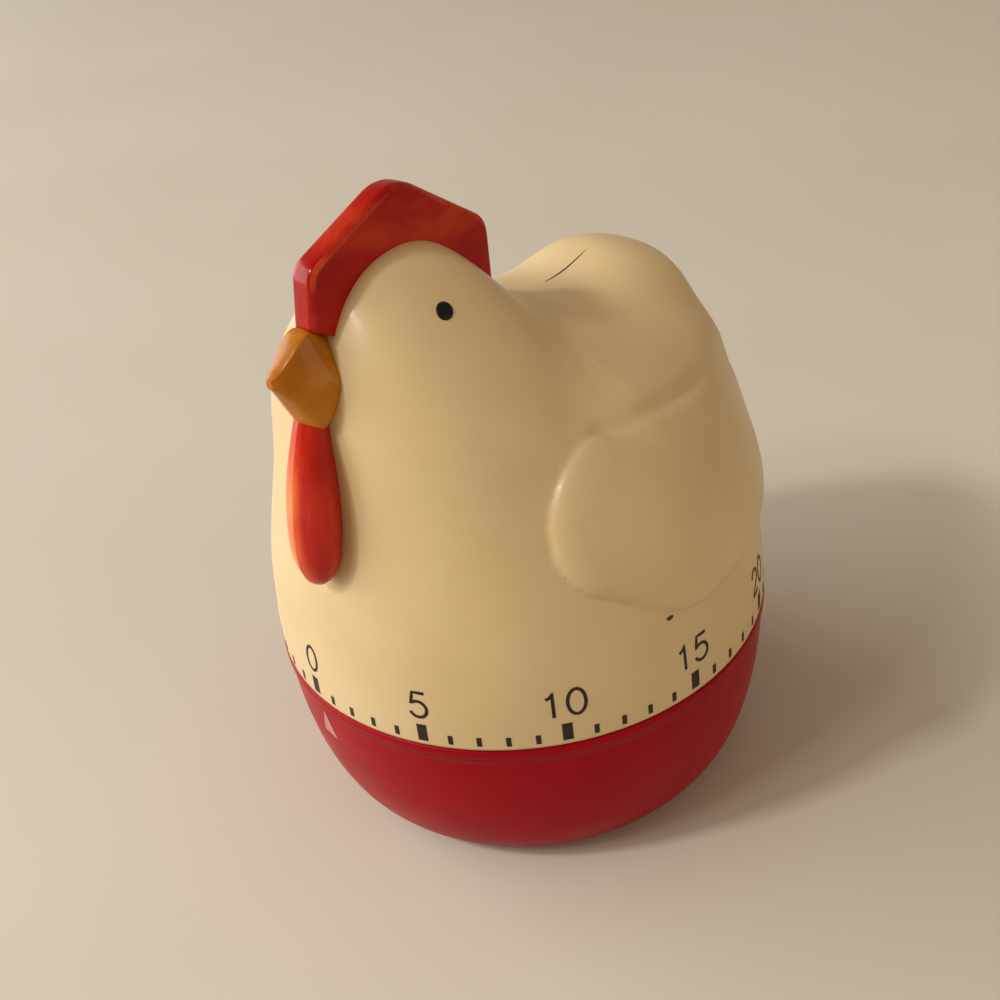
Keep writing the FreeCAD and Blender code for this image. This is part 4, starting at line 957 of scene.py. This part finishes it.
def bowl_profile():
    """Closed half section of the bowl, from the middle of the underside round to the floor."""
    points = [(0.0, 0.0), (10.0, 0.0), (20.0, 0.0), (FOOT_RADIUS + 1.6, 0.0)]
    for step in range(41):
        level = FOOT_RISE + (LIP_LOW - FOOT_RISE) * (step / 40.0) ** 2
        points.append((bowl_radius(level), level))
    points += [(LIP_RADIUS - 0.08, LIP_LOW + 0.03), (LIP_RADIUS, LIP_LOW + 0.12),
               (LIP_RADIUS, 23.1), (LIP_RADIUS, BOWL_TOP - 0.3),
               (LIP_RADIUS - 0.08, BOWL_TOP - 0.08), (LIP_RADIUS - 0.3, BOWL_TOP),
               (BOWL_RADIUS - BOWL_WALL, BOWL_TOP)]
    for step in range(25):
        level = LIP_LOW + (FLOOR_TOP - LIP_LOW) * step / 24.0
        points.append((bowl_radius(level) - BOWL_WALL, level))
    points += [(12.0, FLOOR_TOP), (0.0, FLOOR_TOP)]
    return points


def revolve(name, profile, segments=192):
    """Turn a half section round the dial axis; its first and last points lie on the axis."""
    verts = []
    faces = []
    rings = profile[1:-1]
    for segment in range(segments):
        a = 2.0 * math.pi * segment / segments
        verts += [(r * math.sin(a), -r * math.cos(a), z) for r, z in rings]
    count = len(rings)
    for segment in range(segments):
        after = (segment + 1) % segments
        for index in range(count - 1):
            faces.append((segment * count + index, after * count + index,
                          after * count + index + 1, segment * count + index + 1))
    bottom = len(verts)
    verts += [(0.0, 0.0, profile[0][1]), (0.0, 0.0, profile[-1][1])]
    for segment in range(segments):
        after = (segment + 1) % segments
        faces.append((bottom, after * count, segment * count))
        faces.append((bottom + 1, segment * count + count - 1, after * count + count - 1))
    return make_object(name, verts, faces)


bowl = revolve("base_bowl_piece", bowl_profile())
finish_piece(bowl, "base", CRIMSON, "crimson_plastic", "base_bowl")

# ------------------------------------------------------------ index mark on the base

INDEX_LOW = 17.2
INDEX_HIGH = 21.4
INDEX_HALF = 1.5
INDEX_TIP_HALF = 0.05
INDEX_ROWS = 8
INDEX_LIFT = 0.04


def build_index():
    """Small printed triangle on the bowl, its point up at the reading line."""
    def place(x, y, lift):
        radius = bowl_radius(y) + lift
        a = math.radians(DIAL_TURN) + x / BOWL_RADIUS
        return (radius * math.sin(a), -radius * math.cos(a), y)
    verts = []
    faces = []
    rows = INDEX_ROWS
    for lift in (INDEX_LIFT, INK_SINK):
        for row in range(rows + 1):
            half = INDEX_HALF * (1.0 - row / float(rows)) + INDEX_TIP_HALF
            level = INDEX_LOW + (INDEX_HIGH - INDEX_LOW) * row / rows
            verts.append(place(-half, level, lift))
            verts.append(place(half, level, lift))
    shift = 2 * (rows + 1)
    for row in range(rows):
        a = 2 * row
        faces.append((a, a + 1, a + 3, a + 2))
        faces.append((a + shift, a + 2 + shift, a + 3 + shift, a + 1 + shift))
        faces.append((a, a + 2, a + 2 + shift, a + shift))
        faces.append((a + 1, a + 1 + shift, a + 3 + shift, a + 3))
    faces.append((0, shift, shift + 1, 1))
    top = 2 * rows
    faces.append((top, top + 1, top + 1 + shift, top + shift))
    return make_object("index_mark", verts, faces, smooth=False)


finish_piece(build_index(), "base", WHITE_INK, "crimson_plastic")

# ------------------------------------------------------------ carried-over parts

NODE_MATERIALS = {
    "base_screws": ZINC, "lower_plate": STEEL, "upper_plate": STEEL, "plate_pillars": STEEL,
    "plate_screws": ZINC, "bell": BELL_STEEL, "bell_post": STEEL, "bell_screw": ZINC,
    "mainspring": SPRING_STEEL, "spring_anchor": STEEL, "hammer_spring": SPRING_STEEL,
    "great_wheel": BRASS, "second_wheel": BRASS, "third_wheel": BRASS, "escape_wheel": BRASS,
    "balance_wheel": BRASS, "hammer_head": BRASS, "second_pinion": STEEL, "third_pinion": STEEL,
    "escape_pinion": STEEL, "balance_arbor": STEEL, "pallet_fork": STEEL, "main_arbor": STEEL,
    "ratchet_wheel": STEEL, "click_pin": STEEL, "click_pawl": STEEL, "drive_disc": NYLON,
    "arbor_screw": ZINC, "zero_cam": NYLON, "hammer_arm": STEEL, "trip_lever": STEEL,
    "hammer_arbor": STEEL,
}
for node_name, node_material in NODE_MATERIALS.items():
    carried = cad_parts[node_name]
    carried.data.materials.clear()
    carried.data.materials.append(node_material)

# ------------------------------------------------------------ floor, light, camera


def floor_material():
    material, tree, shader = new_material("floor_paint")
    base = ramp(tree, noise(tree, 9.0, 3.0), [(0.3, (0.585, 0.535, 0.445, 1)),
                                              (0.7, (0.615, 0.565, 0.475, 1))])
    tree.links.new(base, shader.inputs["Base Color"])
    shader.inputs["Roughness"].default_value = 0.6
    return material


def build_floor():
    size = 3.0
    mesh = bpy.data.meshes.new("floor")
    mesh.from_pydata([(-size, -size, 0), (size, -size, 0), (size, size, 0), (-size, size, 0)],
                     [], [(0, 1, 2, 3)])
    obj = bpy.data.objects.new("floor", mesh)
    bpy.context.scene.collection.objects.link(obj)
    mesh.materials.append(floor_material())


build_floor()

CAMERA_AZIMUTH = 46.2
CAMERA_ELEVATION = 36.67
CAMERA_DISTANCE = 167.0
CAMERA_AIM = Vector((0.0, 0.0, 24.7))
CAMERA_YAW = -0.48
CAMERA_PITCH = 3.62
CAMERA_ROLL = -7.35
CAMERA_LENS = 43.36


def aim_camera():
    """Camera to the hen's front left, looking down on it, slightly rolled."""
    a = math.radians(CAMERA_AZIMUTH)
    e = math.radians(CAMERA_ELEVATION)
    away = Vector((math.sin(a) * math.cos(e), -math.cos(a) * math.cos(e), math.sin(e)))
    forward = -away
    right = forward.cross(Vector((0, 0, 1))).normalized()
    up = right.cross(forward)
    look = forward + right * math.tan(math.radians(CAMERA_YAW))
    look = (look + up * math.tan(math.radians(CAMERA_PITCH))).normalized()
    right = look.cross(Vector((0, 0, 1))).normalized()
    up = right.cross(look)
    roll = math.radians(CAMERA_ROLL)
    side = right * math.cos(roll) + up * math.sin(roll)
    top = up * math.cos(roll) - right * math.sin(roll)
    data = bpy.data.cameras.new("camera")
    data.lens = CAMERA_LENS
    data.sensor_width = 36.0
    data.clip_start = 0.005
    data.clip_end = 20.0
    camera = bpy.data.objects.new("camera", data)
    place = (CAMERA_AIM + away * CAMERA_DISTANCE) * MM
    turn = Matrix((side, top, -look)).transposed()
    camera.matrix_world = Matrix.Translation(place) @ turn.to_4x4()
    bpy.context.scene.collection.objects.link(camera)
    bpy.context.scene.camera = camera


def add_light(name, place, aim, size, power, colour):
    data = bpy.data.lights.new(name, "AREA")
    data.shape = "RECTANGLE"
    data.size = size[0]
    data.size_y = size[1]
    data.energy = power
    data.color = colour
    obj = bpy.data.objects.new(name, data)
    obj.location = place
    obj.rotation_mode = "QUATERNION"
    obj.rotation_quaternion = (Vector(aim) - Vector(place)).to_track_quat("-Z", "Y")
    bpy.context.scene.collection.objects.link(obj)


def add_world():
    world = bpy.data.worlds.new("studio")
    world.use_nodes = True
    background = world.node_tree.nodes["Background"]
    background.inputs["Color"].default_value = (1.0, 0.8, 0.59, 1)
    background.inputs["Strength"].default_value = 0.36
    bpy.context.scene.world = world


def toward(azimuth, elevation, distance):
    """Point at an azimuth from the hen's front, an elevation and a distance, in metres."""
    a = math.radians(azimuth)
    e = math.radians(elevation)
    return Vector((math.sin(a) * math.cos(e), -math.cos(a) * math.cos(e),
                   math.sin(e))) * distance


aim_camera()
add_world()
MIDDLE = (0.0, 0.0, 0.035)
add_light("key", toward(-24.0, 46.0, 1.2), MIDDLE, (0.12, 0.12), 4.8, (1.0, 0.98, 0.93))
add_light("second_key", toward(-10.0, 44.0, 1.2), MIDDLE, (0.2, 0.12), 1.9, (1.0, 0.98, 0.93))
add_light("window", toward(-60.0, 18.0, 1.3), MIDDLE, (1.5, 0.9), 20.0, (0.97, 0.99, 1.0))
add_light("fill", toward(100.0, 18.0, 1.2), MIDDLE, (0.9, 0.6), 2.0, (1.0, 0.85, 0.66))
bpy.context.scene.view_settings.view_transform = "Standard"
